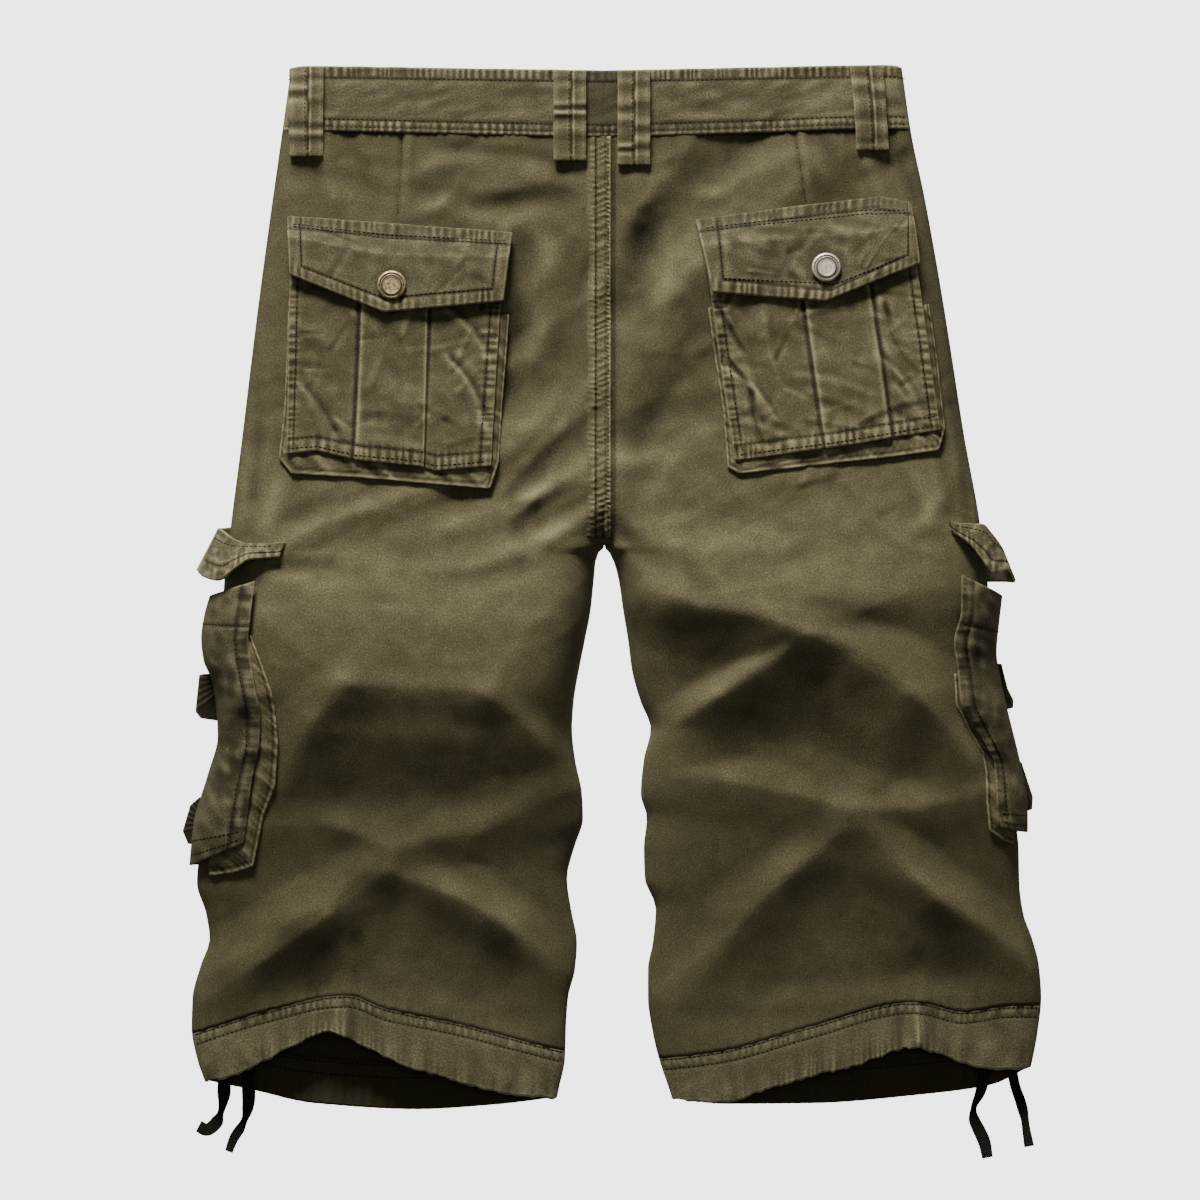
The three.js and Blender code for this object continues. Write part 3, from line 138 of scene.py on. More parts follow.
FOLD_DEPTH = 1.04  # the leg folds are this much deeper than the part's own

# Waves that the drawcord gathers along the edge of each back hem
GATHERS = {"count": 10, "height": 1.1, "uneven": 0.35, "beat": 2.3}

# Lines across each leg: share of the way from its outer edge to its inner edge, y
HEM_SEAM = {
    "left": (
        (0, -294.7), (0.21, -278.5), (0.41, -268.5), (0.52, -277.5), (0.71, -287),
        (0.86, -296.5), (1, -306),
    ),
    "right": (
        (0, -276), (0.08, -275.5), (0.2, -279.5), (0.325, -273), (0.59, -289), (0.81, -304),
        (1, -311),
    ),
}
HEM_EDGE = {
    "left": (
        (0, -326), (0.1, -320), (0.25, -303.5), (0.37, -292), (0.45, -300), (0.56, -313),
        (0.72, -324.5), (0.87, -333), (1, -337),
    ),
    "right": (
        (0, -317), (0.1, -317.5), (0.21, -310.5), (0.33, -302.5), (0.48, -314.5), (0.6, -321),
        (0.75, -331), (0.88, -338.5), (1, -338),
    ),
}
FRONT_HEM_EDGE = {
    "left": ((0, -326), (0.1, -331), (0.3, -341), (0.6, -345), (0.82, -342), (1, -337)),
    "right": ((0, -317), (0.1, -329), (0.3, -335.5), (0.6, -341), (0.85, -341.5), (1, -338)),
}
BAND_SEAM = {"left": ((0, 302.6), (1, 298)), "right": ((0, 303.9), (1, 298))}
BAND_TOP = {"left": ((0, 344), (1, 341)), "right": ((0, 344.6), (1, 341))}

FRONT_LIFT = {"height": 2.8, "reach": 118, "fade": 16, "top": 48, "bottom": -190}
WAIST_BUTTON = {"x": 12, "y": 321}
BUTTON_LIFT = {"height": 2.3, "radius": 12, "fade": 22}
BAND_LAP = {"reach": 34, "fade": 22}
FLY = {"left": -27, "right": 16, "top": 294, "bottom": 128}

# Back pockets: corners of the face and flap; gusset rows are face x, y and base x, y
BACK_POCKETS = {
    "left": {
        "face_top": ((-211.5, 227), (-72, 217)),
        "face_bottom": (
            (-213, 88.8), (-194, 90.5), (-168, 84.5), (-126, 80.5), (-116, 77.5), (-79.5, 80.5),
        ),
        "pleats": ((0.345, 0.395), (0.655, 0.655)),
        "flap_top": ((-213.5, 245), (-66, 234)),
        "flap_bottom": ((-211, 206.3), (-149.8, 181.8), (-71.6, 189)),
        "flap_point": 0.44,
        "snap": (-144.5, 199),
        "gusset": (
            (-206, 190, -212.5, 190), (-207, 150, -213.8, 150), (-208, 118, -215, 118),
            (-207, 97, -218.5, 86), (-199, 95, -210, 75.6), (-165, 90, -162, 72.6),
            (-120, 84, -118, 68.8), (-86, 86, -80, 65.5), (-82, 96, -74.5, 83),
            (-79, 120, -72.5, 120), (-76.5, 150, -70, 150), (-74.5, 180, -68, 180),
        ),
    },
    "right": {
        "face_top": ((60.5, 224), (197, 237)),
        "face_bottom": ((80.9, 84.3), (148, 93), (215.4, 104.6)),
        "pleats": ((0.44, 0.44), (0.76, 0.76)),
        "flap_top": ((55.4, 242.6), (176, 258), (197, 254)),
        "flap_bottom": ((66.3, 194.4), (140, 188.8), (202, 214)),
        "flap_point": 0.56,
        "snap": (140.4, 210.5),
        "gusset": (
            (71, 186, 63.5, 184), (77, 150, 68.5, 148), (81, 118, 73.5, 116),
            (86, 93, 75.9, 79.5), (93, 90, 84, 75.5), (150, 98.5, 150, 83),
            (180, 103, 183, 86.5), (207, 108, 214.5, 91), (209, 115, 219, 105),
            (207, 150, 214.2, 151), (202, 185, 208.6, 187),
        ),
    },
}
POCKET_FACE_LIFT = 4.8
FLAP_LIFT = 6.4
FLAP_RISE_ENDS = 0.36
PLEAT_RAISE = 0.7
SNAP = {"radius": 9.5, "groove": 7.75, "step": 6.4}

# Rings of a snap's cap from its rim inwards: width, rise
CAP_PROFILE = (
    (0.5, 0.8), (0.9, 0.5), (0.5, -0.7), (0.35, 0.0), (0.45, 0.75), (0.5, 0.25), (1.1, -0.45),
    (1.6, -0.1), (1.6, 0.12),
)

# Cargo pockets: face rows from the mouth down are inner x, y and outer x, y
CARGO_POCKETS = {
    "left": {
        "face": (
            (-233.2, 4.6, -266.5, -5), (-236, -20, -270, -18), (-237.2, -33, -272, -33),
            (-235.5, -47, -270.5, -47), (-233.2, -62, -265, -61), (-230, -82, -262, -80),
            (-230.7, -101, -261, -98), (-236.1, -126, -268, -124), (-239.6, -152, -277, -155),
            (-242, -167, -280, -183),
        ),
        "gusset": (
            (-240.5, -36, -236, -31), (-238, -50, -228.5, -50), (-236, -67, -222.4, -67),
            (-233.5, -84, -219.8, -84), (-234.5, -101, -218.5, -101), (-239.5, -128, -220.6, -129),
            (-243, -149, -229, -149.5), (-246, -163, -236, -183), (-255, -169, -250, -187),
            (-265, -174, -266, -189),
        ),
        "flap": (
            (-214.5, 30, -217, 21), (-225, 29.3, -226, 20.5), (-236.3, 29.4, -236, 20),
            (-246, 31.5, -247, 13.5), (-253.5, 35.5, -258, 6), (-259, 39, -269, 8.5),
            (-261, 40, -275.2, 12.9),
        ),
        "tabs": (
            (
                ((-267.2, -56.4), (-273.5, -57), (-276, -81.5), (-272.5, -86), (-262.1, -87.5)),
                ((-267.2, -56.4), (-265.3, -61.5), (-262.4, -80), (-262.1, -87.5)),
            ),
            (
                ((-273.5, -138.3), (-279.5, -143.6), (-284.5, -160.7), (-281, -169)),
                ((-273.5, -138.3), (-281, -169)),
            ),
        ),
    },
    "right": {
        "face": (
            (228.4, 8.5, 258.5, -5), (228.2, -15, 256.5, -22), (223.7, -35, 254.8, -42),
            (226.4, -54, 257.5, -60), (228, -73, 261.5, -78), (237.6, -91, 265.5, -94),
            (246.8, -105, 269, -108), (252.1, -117.5, 272, -122), (253.1, -140, 275.5, -142),
            (256.1, -157, 275.5, -161),
        ),
        "gusset": (
            (232.5, -56, 224.5, -56), (234, -74, 225.5, -76), (243, -91, 235, -94),
            (252, -105, 243.5, -108), (256, -120, 246.2, -120), (257, -139, 246.6, -141),
            (259.5, -151, 248.5, -159), (262, -154, 258, -166), (265, -155, 265.5, -168),
        ),
        "flap": (
            (220.8, 45.2, 223.7, 36.6), (225.5, 43, 229.5, 32.5), (234, 42.4, 236.3, 27.1),
            (243.3, 42.2, 243.5, 18), (250, 36, 249.5, 11), (256.7, 28.5, 261, 13),
            (260, 24, 267.5, 5),
        ),
        "tabs": (
            (
                ((258.2, -50), (262.2, -66), (266, -73.6), (266, -78.9), (262.5, -80)),
                ((258.2, -50), (262.5, -80)),
            ),
            (
                ((271.5, -115), (279, -138), (278.5, -146), (276.5, -147)),
                ((271.5, -115), (276.5, -147)),
            ),
        ),
    },
}
CARGO_FACE_LIFT = 5.6
CARGO_ROUND_SPARE = 10
CARGO_FRONT_REACH = 104
CARGO_FLAP_FLARE = 6
UNDER_ROUND = 6
TAB = {"bottom": 5.3, "thickness": 2.4, "cloth": 0.9, "tuck": 2.5}

# Belt loops: name, side, middle of the top end, middle of the bottom end
BELT_LOOPS = (
    ("side_left", "left", -200.6, 343.2, -201, 284.8),
    ("centre_left", "left", -27.7, 340.6, -27.7, 282),
    ("centre_right", "right", 14.5, 340.6, 14.5, 279),
    ("side_right", "right", 167.6, 343.8, 171.6, 288.8),
)
LOOP = {"width": 21, "thickness": 2, "stand": 1.4}

# Share of each loop's width at which its one stitch row runs
LOOP_ROWS = {"side_left": 0.46, "centre_left": 0.47, "centre_right": 0.44, "side_right": 0.48}

# Drawcord ends: share of the full width along each, and routes from inside the hem out
CORD = {"width": 9, "thickness": 1.2}
CORD_WIDTHS = {
    "drawcord_left_a": ((0, 0.95), (0.35, 1), (0.62, 0.5), (0.74, 0.95), (1, 0.9)),
    "drawcord_left_b": ((0, 0.9), (0.3, 1), (0.48, 0.85), (0.62, 0.5), (0.75, 0.75), (1, 0.6)),
    "drawcord_right_a": ((0, 0.9), (0.3, 0.8), (0.5, 0.45), (0.62, 0.85), (0.8, 0.95), (1, 0.8)),
    "drawcord_right_b": ((0, 0.9), (0.35, 0.75), (0.6, 0.8), (0.75, 0.6), (1, 0.75)),
}
CORD_ROUTES = {
    "drawcord_left_a": (
        (-256.5, -314, 4.6), (-256.8, -322, 4.6), (-257.2, -330, 3.9), (-257.8, -338, 1.6),
        (-259.5, -347, 0.95), (-263, -355, 0.95), (-269, -359.5, 0.95), (-274.5, -357, 0.95),
    ),
    "drawcord_left_b": (
        (-241.5, -316, 4.6), (-241.2, -325, 4.6), (-241, -333, 3.9), (-241.3, -341, 1.6),
        (-243, -350, 0.95), (-246.5, -358, 0.95), (-251, -365, 0.95), (-254.5, -374, 0.95),
    ),
    "drawcord_right_a": (
        (246.5, -312, 4.6), (246.4, -320, 4.6), (246, -328, 3.9), (244, -336, 1.6),
        (240.5, -344, 0.95), (240.5, -352, 0.95), (244, -360, 0.95), (247.5, -368, 0.95),
        (249.5, -378, 0.95),
    ),
    "drawcord_right_b": (
        (262.5, -306, 4.6), (264, -314, 4.6), (265.8, -322, 3.9), (268, -331, 1.6),
        (271.5, -341, 0.95), (274, -351, 0.95), (275.5, -361, 0.95), (277.2, -370.5, 0.95),
    ),
}

# Small creases pressed into the back: x0, y0, x1, y1, bow, height at each end,
# width up and down, crest. A trough has a height below zero.
CREASES = (
    (-60, 172, -14, 226, 0, -2.2, -0.5, 16, 22, 1.6),
    (-62, 132, -16, 176, -3, -3.2, -1.1, 16, 26, 1.6),
    (-64, 96, -10, 134, 2, 1.9, 0.8, 18, 12, 1.5),
    (-96, 60, -22, 92, 3, -1.9, -1.4, 14, 24, 1.6),
    (-54, 56, -16, 86, -2, 1.6, 0.7, 12, 9, 1.4),
    (-60, 40, -36, 62, 0, -2.4, -1.4, 8, 12, 1.5),
    (-40, 34, -12, 52, 0, 2.2, 1.1, 12, 8, 1.4),
    (-150, 22, -60, 46, -4, -1.1, -2.2, 12, 18, 1.6),
    (-134, 8, -62, 14, -5, -0.8, -1.9, 9, 12, 1.5),
    (-186, 30, -100, 62, -3, -1.4, -2.2, 14, 20, 1.6),
    (-210, 14, -168, 12, 0, -2.2, -0.8, 10, 9, 1.5),
    (-236, 60, -232, 116, 0, -1.4, -0.8, 7, 7, 1.5),
    (-226, 44, -205, 100, 0, 1.2, 0.7, 10, 10, 1.5),
    (16, 104, 60, 120, 3, -2.4, -1.4, 14, 20, 1.6),
    (6, 84, 66, 92, -3, 1.2, 0.7, 12, 12, 1.5),
    (4, 40, 28, 14, 0, -1.9, -0.8, 10, 8, 1.5),
    (14, 30, 56, 4, 3, -1.2, -1.9, 12, 14, 1.5),
    (64, 40, 150, 62, 4, -1.1, -0.7, 14, 16, 1.6),
    (80, 12, 170, 34, -3, -1.1, -0.8, 12, 14, 1.6),
    (222, 52, 212, 112, 2, -1.6, -0.7, 9, 9, 1.5),
    (234, 46, 226, 128, 2, -1.6, -0.8, 6, 8, 1.5),
    (208, 44, 196, 78, 2, 1.1, 0.5, 8, 8, 1.5),
    (-205, 276, -150, 262, 2, -1.4, -0.7, 10, 12, 1.5),
    (-128, 262, -34, 258, -3, -1.1, -1.6, 9, 12, 1.5),
    (-120, 286, -50, 276, 2, 0.7, 1.1, 10, 12, 1.5),
    (64, 286, 10, 190, 6, -3.2, -1.9, 18, 22, 1.6),
    (112, 282, 44, 250, 0, 1.4, 0.7, 16, 12, 1.5),
    (196, 286, 168, 272, 0, -1.6, -0.8, 8, 10, 1.5),
    (24, 228, 54, 200, 0, -1.2, -0.7, 12, 12, 1.5),
    (-174, 296, -157, 253, 0, -1.5, -0.8, 10, 14, 1.5),
    (-193, 291, -184, 258, 0, 1.3, 0.8, 10, 8, 1.4),
    (-102, 289, -36, 282, 0, -1.6, -1.2, 8, 14, 1.5),
    (-122, 277, -88, 282, 2, 1.4, 0.8, 9, 10, 1.3),
    (-84, 253, -36, 265, -2, -1.4, -0.9, 8, 11, 1.4),
    (-120, 250, -84, 262, 2, 1.0, 0.6, 8, 10, 1.3),
    (-58, 222, -66, 134, 0, -2.2, -1.6, 15, 11, 1.5),
    (-40, 215, -50, 148, 3, 1.6, 0.8, 12, 14, 1.4),
    (-16, 210, -40, 158, -2, -1.6, -0.8, 10, 12, 1.4),
    (-64, 62, -16, 110, 3, -2.2, -1.2, 8, 13, 1.4),
    (-55, 82, -12, 120, 2, 1.6, 0.8, 9, 8, 1.2),
    (-45, 43, -8, 67, -2, -2.0, -1.0, 7, 11, 1.3),
    (-58, 60, -18, 82, -3, 1.4, 0.6, 9, 7, 1.2),
    (132, 277, 46, 206, -4, 3.0, 2.6, 24, 28, 1.4),
    (46, 206, 7, 144, -3, 2.6, 1.4, 22, 26, 1.4),
    (88, 292, 22, 234, -3, -3.2, -2.4, 18, 20, 1.5),
    (22, 234, 4, 190, 0, -2.4, -1.0, 14, 14, 1.5),
    (136, 296, 160, 253, 2, -1.4, -0.8, 9, 11, 1.4),
    (165, 287, 179, 258, 0, 1.4, 0.7, 8, 8, 1.3),
    (184, 300, 200, 258, 0, -1.4, -0.8, 6, 7, 1.3),
    (60, 262, 96, 246, 2, 1.0, 0.6, 7, 9, 1.3),
    (18, 170, 50, 190, 0, -1.0, -0.6, 8, 12, 1.4),
    (26, 60, 74, 118, 4, 1.2, 0.6, 10, 16, 1.4),
    (18, 96, 60, 150, 4, -1.2, -0.8, 10, 14, 1.4),
    (-232, 20, -120, 64, 5, 1.4, 0.6, 12, 18, 1.4),
    (-210, 44, -130, 74, 3, -1.2, -0.8, 10, 12, 1.4),
    (200, 40, 226, 74, 0, 1.0, 0.5, 8, 10, 1.4),
    (-174, -61, -86, -67, 0, 1, 1.1, 14, 22, 1),
    (-171, -63, -193, -84, -2, 1.2, 1.4, 24, 24, 1),
    (-193, -84, -221, -142, -3, 1.4, 0.8, 24, 24, 1),
    (-86, -67, -24, -122, 2, 1.4, 1, 24, 24, 1),
    (-158, -98, -68, -102, 0, 1.8, 2, 32, 36, 1.6),
    (-228, -18, -178, -56, -2, 0.8, 0.9, 16, 26, 1),
    (-82, -68, -44, -20, 2, 0.9, 0.5, 16, 26, 1),
    (-20, -40, -38, -118, 0, -1, -0.6, 10, 12, 1.4),
    (-228, -155, -178, -156, 0, 0.8, 0.8, 20, 30, 1),
    (-178, -156, -143, -172, 0, 0.8, 1.2, 20, 30, 1),
    (-143, -172, -86, -159, 1, 1.2, 1.1, 20, 30, 1),
    (-86, -159, -22, -131, 2, 1.1, 1, 20, 30, 1),
    (-147, -184, -186, -213, 0, 1.2, 1.9, 24, 24, 1),
    (-186, -213, -232, -245, -1, 1.9, 1.6, 24, 24, 1),
    (-232, -245, -271, -273, 0, 1.6, 1, 20, 20, 1),
    (-143, -186, -107, -200, 0, 1.2, 1.4, 24, 20, 1),
    (-107, -200, -65, -223, 1, 1.4, 1.7, 24, 24, 1),
    (-65, -223, -29, -252, 1, 1.7, 1.2, 22, 24, 1),
    (-152, -216, -118, -232, 0, -1.6, -1.6, 30, 34, 1.6),
    (-200, -262, -90, -262, 3, -1.2, -1.2, 40, 18, 1.6),
    (-168, -236, -172, -270, 0, -0.8, -0.4, 9, 9, 1.4),
    (-172, -246, -177, -292, 0, 0.6, 1.4, 8, 8, 1.2),
    (40, -8, 102, -18, 0, 0.8, 1.1, 24, 20, 1),
    (102, -18, 127, -30, 0, 1.1, 1.6, 20, 14, 1),
    (125, -34, 72, -68, -2, 1.6, 1.4, 22, 24, 1),
    (72, -68, 27, -98, 0, 1.4, 1, 22, 24, 1),
    (127, -31, 161, -49, 2, 1.6, 1.4, 22, 24, 1),
    (161, -49, 235, -105, 4, 1.4, 1.2, 22, 24, 1),
    (235, -105, 247, -128, 0, 1.2, 0.8, 20, 20, 1),
    (134, -12, 170, -18, 2, -1, -0.5, 8, 16, 1.4),
    (120, -66, 176, -84, 0, 1.6, 1.4, 30, 34, 1.6),
    (60, -42, 100, -34, 0, 1.2, 0.8, 16, 20, 1.6),
    (24, -123, 79, -127, 0, 0.8, 1, 20, 30, 1),
    (79, -127, 146, -142, 1, 1, 1.2, 20, 30, 1),
    (157, -142, 198, -145, 0, 1.2, 1.1, 20, 30, 1),
    (198, -145, 246, -134, 1, 1.1, 0.8, 20, 30, 1),
    (153, -157, 116, -186, 0, 1.4, 1.6, 22, 24, 1),
    (116, -186, 35, -261, -3, 1.6, 1.4, 22, 24, 1),
    (164, -157, 198, -190, 0, 1.4, 1.6, 22, 24, 1),
    (198, -190, 279, -250, 3, 1.6, 1.1, 22, 24, 1),
    (142, -206, 178, -214, 0, -1.4, -1.6, 30, 34, 1.6),
    (110, -258, 230, -252, 3, -1.2, -1.2, 40, 18, 1.6),
    (202, -246, 200, -274, 0, -0.7, -0.4, 9, 9, 1.4),
    (204, -256, 205, -292, 0, 0.6, 1.2, 8, 8, 1.2),
)

# Fine creases from wear: box x0, y0, x1, y1, how many, their slant and its spread,
# shortest and longest, greatest height
WEAR_CREASES = (
    (-222, 180, -25, 292, 34, 30, 35, 12, 42, 0.55),
    (-238, 60, -25, 180, 30, 42, 25, 14, 50, 0.6),
    (10, 180, 195, 292, 30, 45, 30, 12, 42, 0.55),
    (10, 60, 225, 180, 30, 30, 35, 14, 50, 0.6),
    (-245, -50, -20, 60, 34, 20, 30, 16, 52, 0.32),
    (15, -20, 240, 60, 30, 12, 30, 16, 52, 0.32),
    (-250, -150, -40, -60, 16, -10, 40, 12, 34, 0.16),
    (20, -140, 240, -40, 18, 10, 40, 12, 34, 0.16),
    (-265, -270, -150, -170, 14, 40, 20, 12, 36, 0.16),
    (-150, -270, -30, -170, 14, -35, 20, 12, 36, 0.16),
    (35, -280, 150, -150, 14, 42, 20, 12, 36, 0.16),
    (150, -270, 275, -150, 14, -40, 20, 12, 36, 0.16),
)

# Creases on the back pockets, in the same columns as CREASES
POCKET_CREASES = {
    "left": (
        (-201, 133, -178, 97, 2, -0.47, -0.34, 4.5, 3.5, 1.2),
        (-206, 134, -186, 96, 2, 0.37, 0.22, 7.8, 5, 1.2),
        (-196, 138, -176, 108, 3, 0.35, 0.17, 9.1, 6, 1.3),
        (-205, 172, -180, 160, 0, 0.35, 0.13, 9.1, 7, 1.4),
        (-200, 160, -176, 128, 4, -0.3, -0.13, 10.4, 8, 1.4),
        (-108, 182, -80, 148, 3, 0.37, 0.25, 3.4, 6, 1.1),
        (-104, 184, -78, 152, 3, -0.41, -0.25, 6.5, 3.5, 1.2),
        (-121, 156, -96, 163, 0, 0.31, 0.19, 3, 3, 1.3),
        (-108, 151, -85, 108, 4, 0.44, 0.32, 3.4, 7, 1.1),
        (-104, 150, -81, 110, 4, -0.47, -0.32, 6.5, 3.5, 1.2),
        (-85, 108, -76, 98, 0, 0.32, 0.19, 3.9, 5, 1.2),
        (-121, 130, -106, 96, 2, -0.32, -0.19, 10.4, 9, 1.4),
        (-160, 114, -132, 110, 1, -0.31, -0.19, 5, 7, 1.4),
        (-158, 99, -128, 94, 0, 0.31, 0.19, 6, 6, 1.4),
        (-110, 228, -86, 216, -2, -0.41, -0.15, 5.2, 6, 1.3),
        (-150, 222, -120, 226, 2, 0.3, 0.17, 7.8, 8, 1.4),
        (-200, 214, -170, 206, 0, 0.37, 0.19, 5, 7, 1.4),
        (-100, 206, -76, 214, 0, 0.3, 0.17, 7.8, 7, 1.4),
    ),
    "right": (
        (66, 190, 84, 160, 0, -1.1, -0.5, 3, 8, 1.2),
        (74, 150, 92, 128, 2, -1.0, -0.4, 3, 9, 1.2),
        (78, 142, 106, 112, 3, 1.0, 0.5, 3.5, 8, 1.2),
        (92, 128, 98, 98, -2, -0.9, -0.5, 4, 5, 1.2),
        (180, 182, 196, 146, -3, -1.1, -0.5, 4, 8, 1.2),
        (176, 150, 200, 120, 3, 0.9, 0.4, 4, 9, 1.2),
        (166, 108, 206, 122, 2, -1.0, -0.5, 4, 8, 1.2),
        (130, 108, 166, 100, 1, -0.7, -0.4, 4, 8, 1.3),
        (72, 172, 96, 120, 3, 0.58, 0.27, 5, 7, 1.3),
        (76, 150, 100, 104, 3, -0.58, -0.31, 4, 6, 1.2),
        (80, 112, 118, 96, 2, 0.45, 0.27, 5, 5, 1.3),
        (100, 176, 112, 130, -2, 0.5, 0.25, 5, 7, 1.3),
        (126, 170, 150, 158, 1, -0.5, -0.25, 5, 7, 1.4),
        (124, 140, 168, 128, 2, 0.5, 0.25, 5, 6, 1.4),
        (132, 124, 172, 108, 2, -0.56, -0.37, 5, 7, 1.4),
        (176, 190, 196, 150, -2, 0.53, 0.27, 4, 7, 1.2),
        (180, 186, 200, 144, -2, -0.58, -0.27, 4, 4, 1.2),
        (172, 176, 192, 128, -3, -0.53, -0.27, 4, 6, 1.2),
        (186, 132, 204, 112, 0, 0.49, 0.22, 4, 6, 1.2),
        (150, 236, 190, 226, 2, 0.45, 0.22, 6, 8, 1.4),
        (84, 226, 120, 216, -2, -0.5, -0.25, 5, 8, 1.4),
        (160, 222, 186, 240, 0, -0.45, -0.22, 5, 6, 1.3),
        (96, 240, 130, 236, 0, 0.43, 0.25, 5, 6, 1.4),
    ),
}

# Seam lines of the two back darts: x0, y0, x1, y1
DARTS = ((-138.6, 297, -141, 246.5), (121, 296, 127.4, 254.4))

# Waves that stitching gathers: height, pitch, reach from the seam, seed
PUCKERS = {
    "dart": (0.35, 5.5, 5, 19),
    "band_seam": (0.3, 8, 8, 11),
    "hem_seam": (0.35, 9, 9, 13),
    "centre_seam": (0.4, 6.6, 12, 17),
    "hem_cord": (0.5, 4.6, 1, 31),
    "hem_fold": (0.3, 11, 1, 33),
    "hem_band": (0.32, 5, 1, 35),
    "band_top": (0.42, 4.6, 1, 51),
    "band_bottom": (0.38, 5.2, 1, 53),
    "face_side": (0.42, 5.6, 6, 61),
    "face_bottom": (0.55, 5.8, 7, 63),
    "flap_edge": (0.36, 5.6, 6, 71),
    "flap_top": (0.3, 5.2, 6, 73),
    "gusset": (0.25, 5.5, 4, 83),
    "cargo_edge": (0.24, 5.4, 5, 91),
    "cargo_flap": (0.4, 4.6, 7, 101),
    "fell_edge": (0.30, 2.7, 2.6, 121),
    "fell_middle": (0.42, 5.2, 6, 122),
    "fell_left": (0.22, 4.1, 5, 123),
}

# Stitch rows: below the hem seam, below the top of the front hem's inside, in from the edges
# of the waistband and of a back pocket's face and flap
HEM_ROWS = (1.2, 7.4)
FRONT_HEM_ROWS = (2, 10)
BAND_ROWS = {"top": 7, "lower": 2.4, "upper": 7.6}
POCKET_ROWS = {"side": 5.6, "bottom": 9, "flap": 8, "flap_top": 8.5}

# One stitch in millimetres, how far along its row its direction is taken, and the small steps
# across a surface that give its normal: in millimetres, or in shares of a piece
STITCH = {"pitch": 3.1, "length": 2.3, "width": 0.95, "height": 0.55, "sink": 0.05, "look": 0.6}
STEP_MM = 0.5
STEP_SHARE = 0.004
STEP_LOOP = 0.01

# Nominal width and depth of a back pocket's face and flap, and width of a cargo face on the
# back, which turn shares of these pieces into millimetres
FACE_SIZE = (140, 138)
FLAP_SIZE = (142, 50)
CARGO_WIDTH = 40

# Felled strip of the centre seam, with the places of its two stitch rows
CENTRE_STRIP = {
    "left": -20, "right": -0.7, "top": 298, "bottom": 34, "thickness": 0.9, "rows": (-10.6, -2.6),
}

# Grid steps of each piece, rows before columns; a panel's columns are edge and middle steps
GRIDS = {
    "front": (96, 8, 32), "hem_back": (30, 22, 170), "hem_front": (22, 8, 110),
    "waistband": (32, 165, 20, 7, 90), "face": (102, 138), "flap": (52, 72), "gusset": (14, 20),
    "cargo": (130, 44), "cargo_flap": (30, 60), "under": (7, 20), "tab": (40, 9),
    "loop": (64, 26), "centre": (330, 22), "fly": (60, 16), "cord": (60, 20),
}
BACK_SPACING = {"coarse": 2.7, "fine": 1.9, "from": 70, "to": -10, "edge": 20, "middle": 102}

# How much darker than the thighs the seat and the shins are, as a share of the way to the shade colour; on
# the shins this is painted shade, as the light falls off towards the hems
DARKER_THAN_THIGHS = {"seat": 0.16, "shin": 0.2}

# How much darker each back pocket's face is, in the same shares
POCKET_SHADE = {"left": 0.12, "right": 0.02}

# Cloth colours, pale where worn, to dark for the shade painted in the ditches
OLIVE = (0.144, 0.130, 0.067, 1)
OLIVE_DOUBLE = (0.124, 0.112, 0.061, 1)
OLIVE_WORN = (0.400, 0.358, 0.205, 1)
OLIVE_SHADE = (0.034, 0.029, 0.016, 1)
# Darker copy of the olive for the cargo faces: painted shade on faces that turn away from the light
SHADED_CARGO_OLIVE = (0.080, 0.071, 0.038, 1)
TAB_DARK = (0.030, 0.027, 0.016, 1)
CORD_BLACK = (0.020, 0.019, 0.013, 1)
CORD_WORN = (0.075, 0.072, 0.055, 1)
THREAD = (0.013, 0.011, 0.006, 1)
THREAD_DITCH = (0.012, 0.010, 0.006, 1)
TACK_OLIVE = (0.19, 0.17, 0.095, 1)
CORD_DITCH = (0.008, 0.008, 0.006, 1)
INSIDE_OLIVE = (0.085, 0.073, 0.040, 1)
INSIDE_WORN = (0.17, 0.15, 0.09, 1)
# Worn colour of the cargo faces, darker by the same painted shade
SHADED_CARGO_WORN = (0.26, 0.232, 0.132, 1)
TAB_WORN = (0.12, 0.107, 0.062, 1)
BRASS = (0.78, 0.64, 0.36, 1)
SILVER_WORN = (1.0, 0.92, 0.76, 1)
BRASS_DARK = (0.13, 0.085, 0.045, 1)

# Camera and lights in metres and watts: name, place, size, power, colour
CAMERA = {"lens": 100, "sensor": 36, "place": (-0.0079, -0.0076, 2.215)}
LIGHTS = (
    ("key_window", (-0.5, 2.6, 1.08), (1.0, 0.5), 138, (1.0, 0.985, 0.96)),
    ("overhead", (0, 0.4, 2.4), (0.75, 0.45), 2.2, (1, 1, 1)),
)
LIGHT_AIM = (0, -0.02, 0)
WORLD = {"colour": (1, 0.92, 0.80, 1), "strength": 0.085}
FLOOR = {"size": 60, "depth": 0.0004, "seen": 3.55, "bounce": 0.4, "colour": (0.10, 0.10, 0.10, 1)}


# Small helpers
def clamp01(t):
    return np.clip(t, 0, 1)


def smooth(t):
    t = clamp01(t)
    return t * t * (3 - 2 * t)


def mix(a, b, t):
    return a + (b - a) * t


def near(distance, width):
    """1 at no distance, falling off smoothly over a width."""
    return np.exp(-(distance / width) ** 2)


def arch(t):
    return np.sin(math.pi * clamp01(t))


def even(count):
    return np.linspace(0, 1, count)


def same_shape(a, b):
    return np.broadcast_arrays(np.asarray(a, float), np.asarray(b, float))


def places(x, y, z):
    return np.stack((x, y, z), axis=-1)


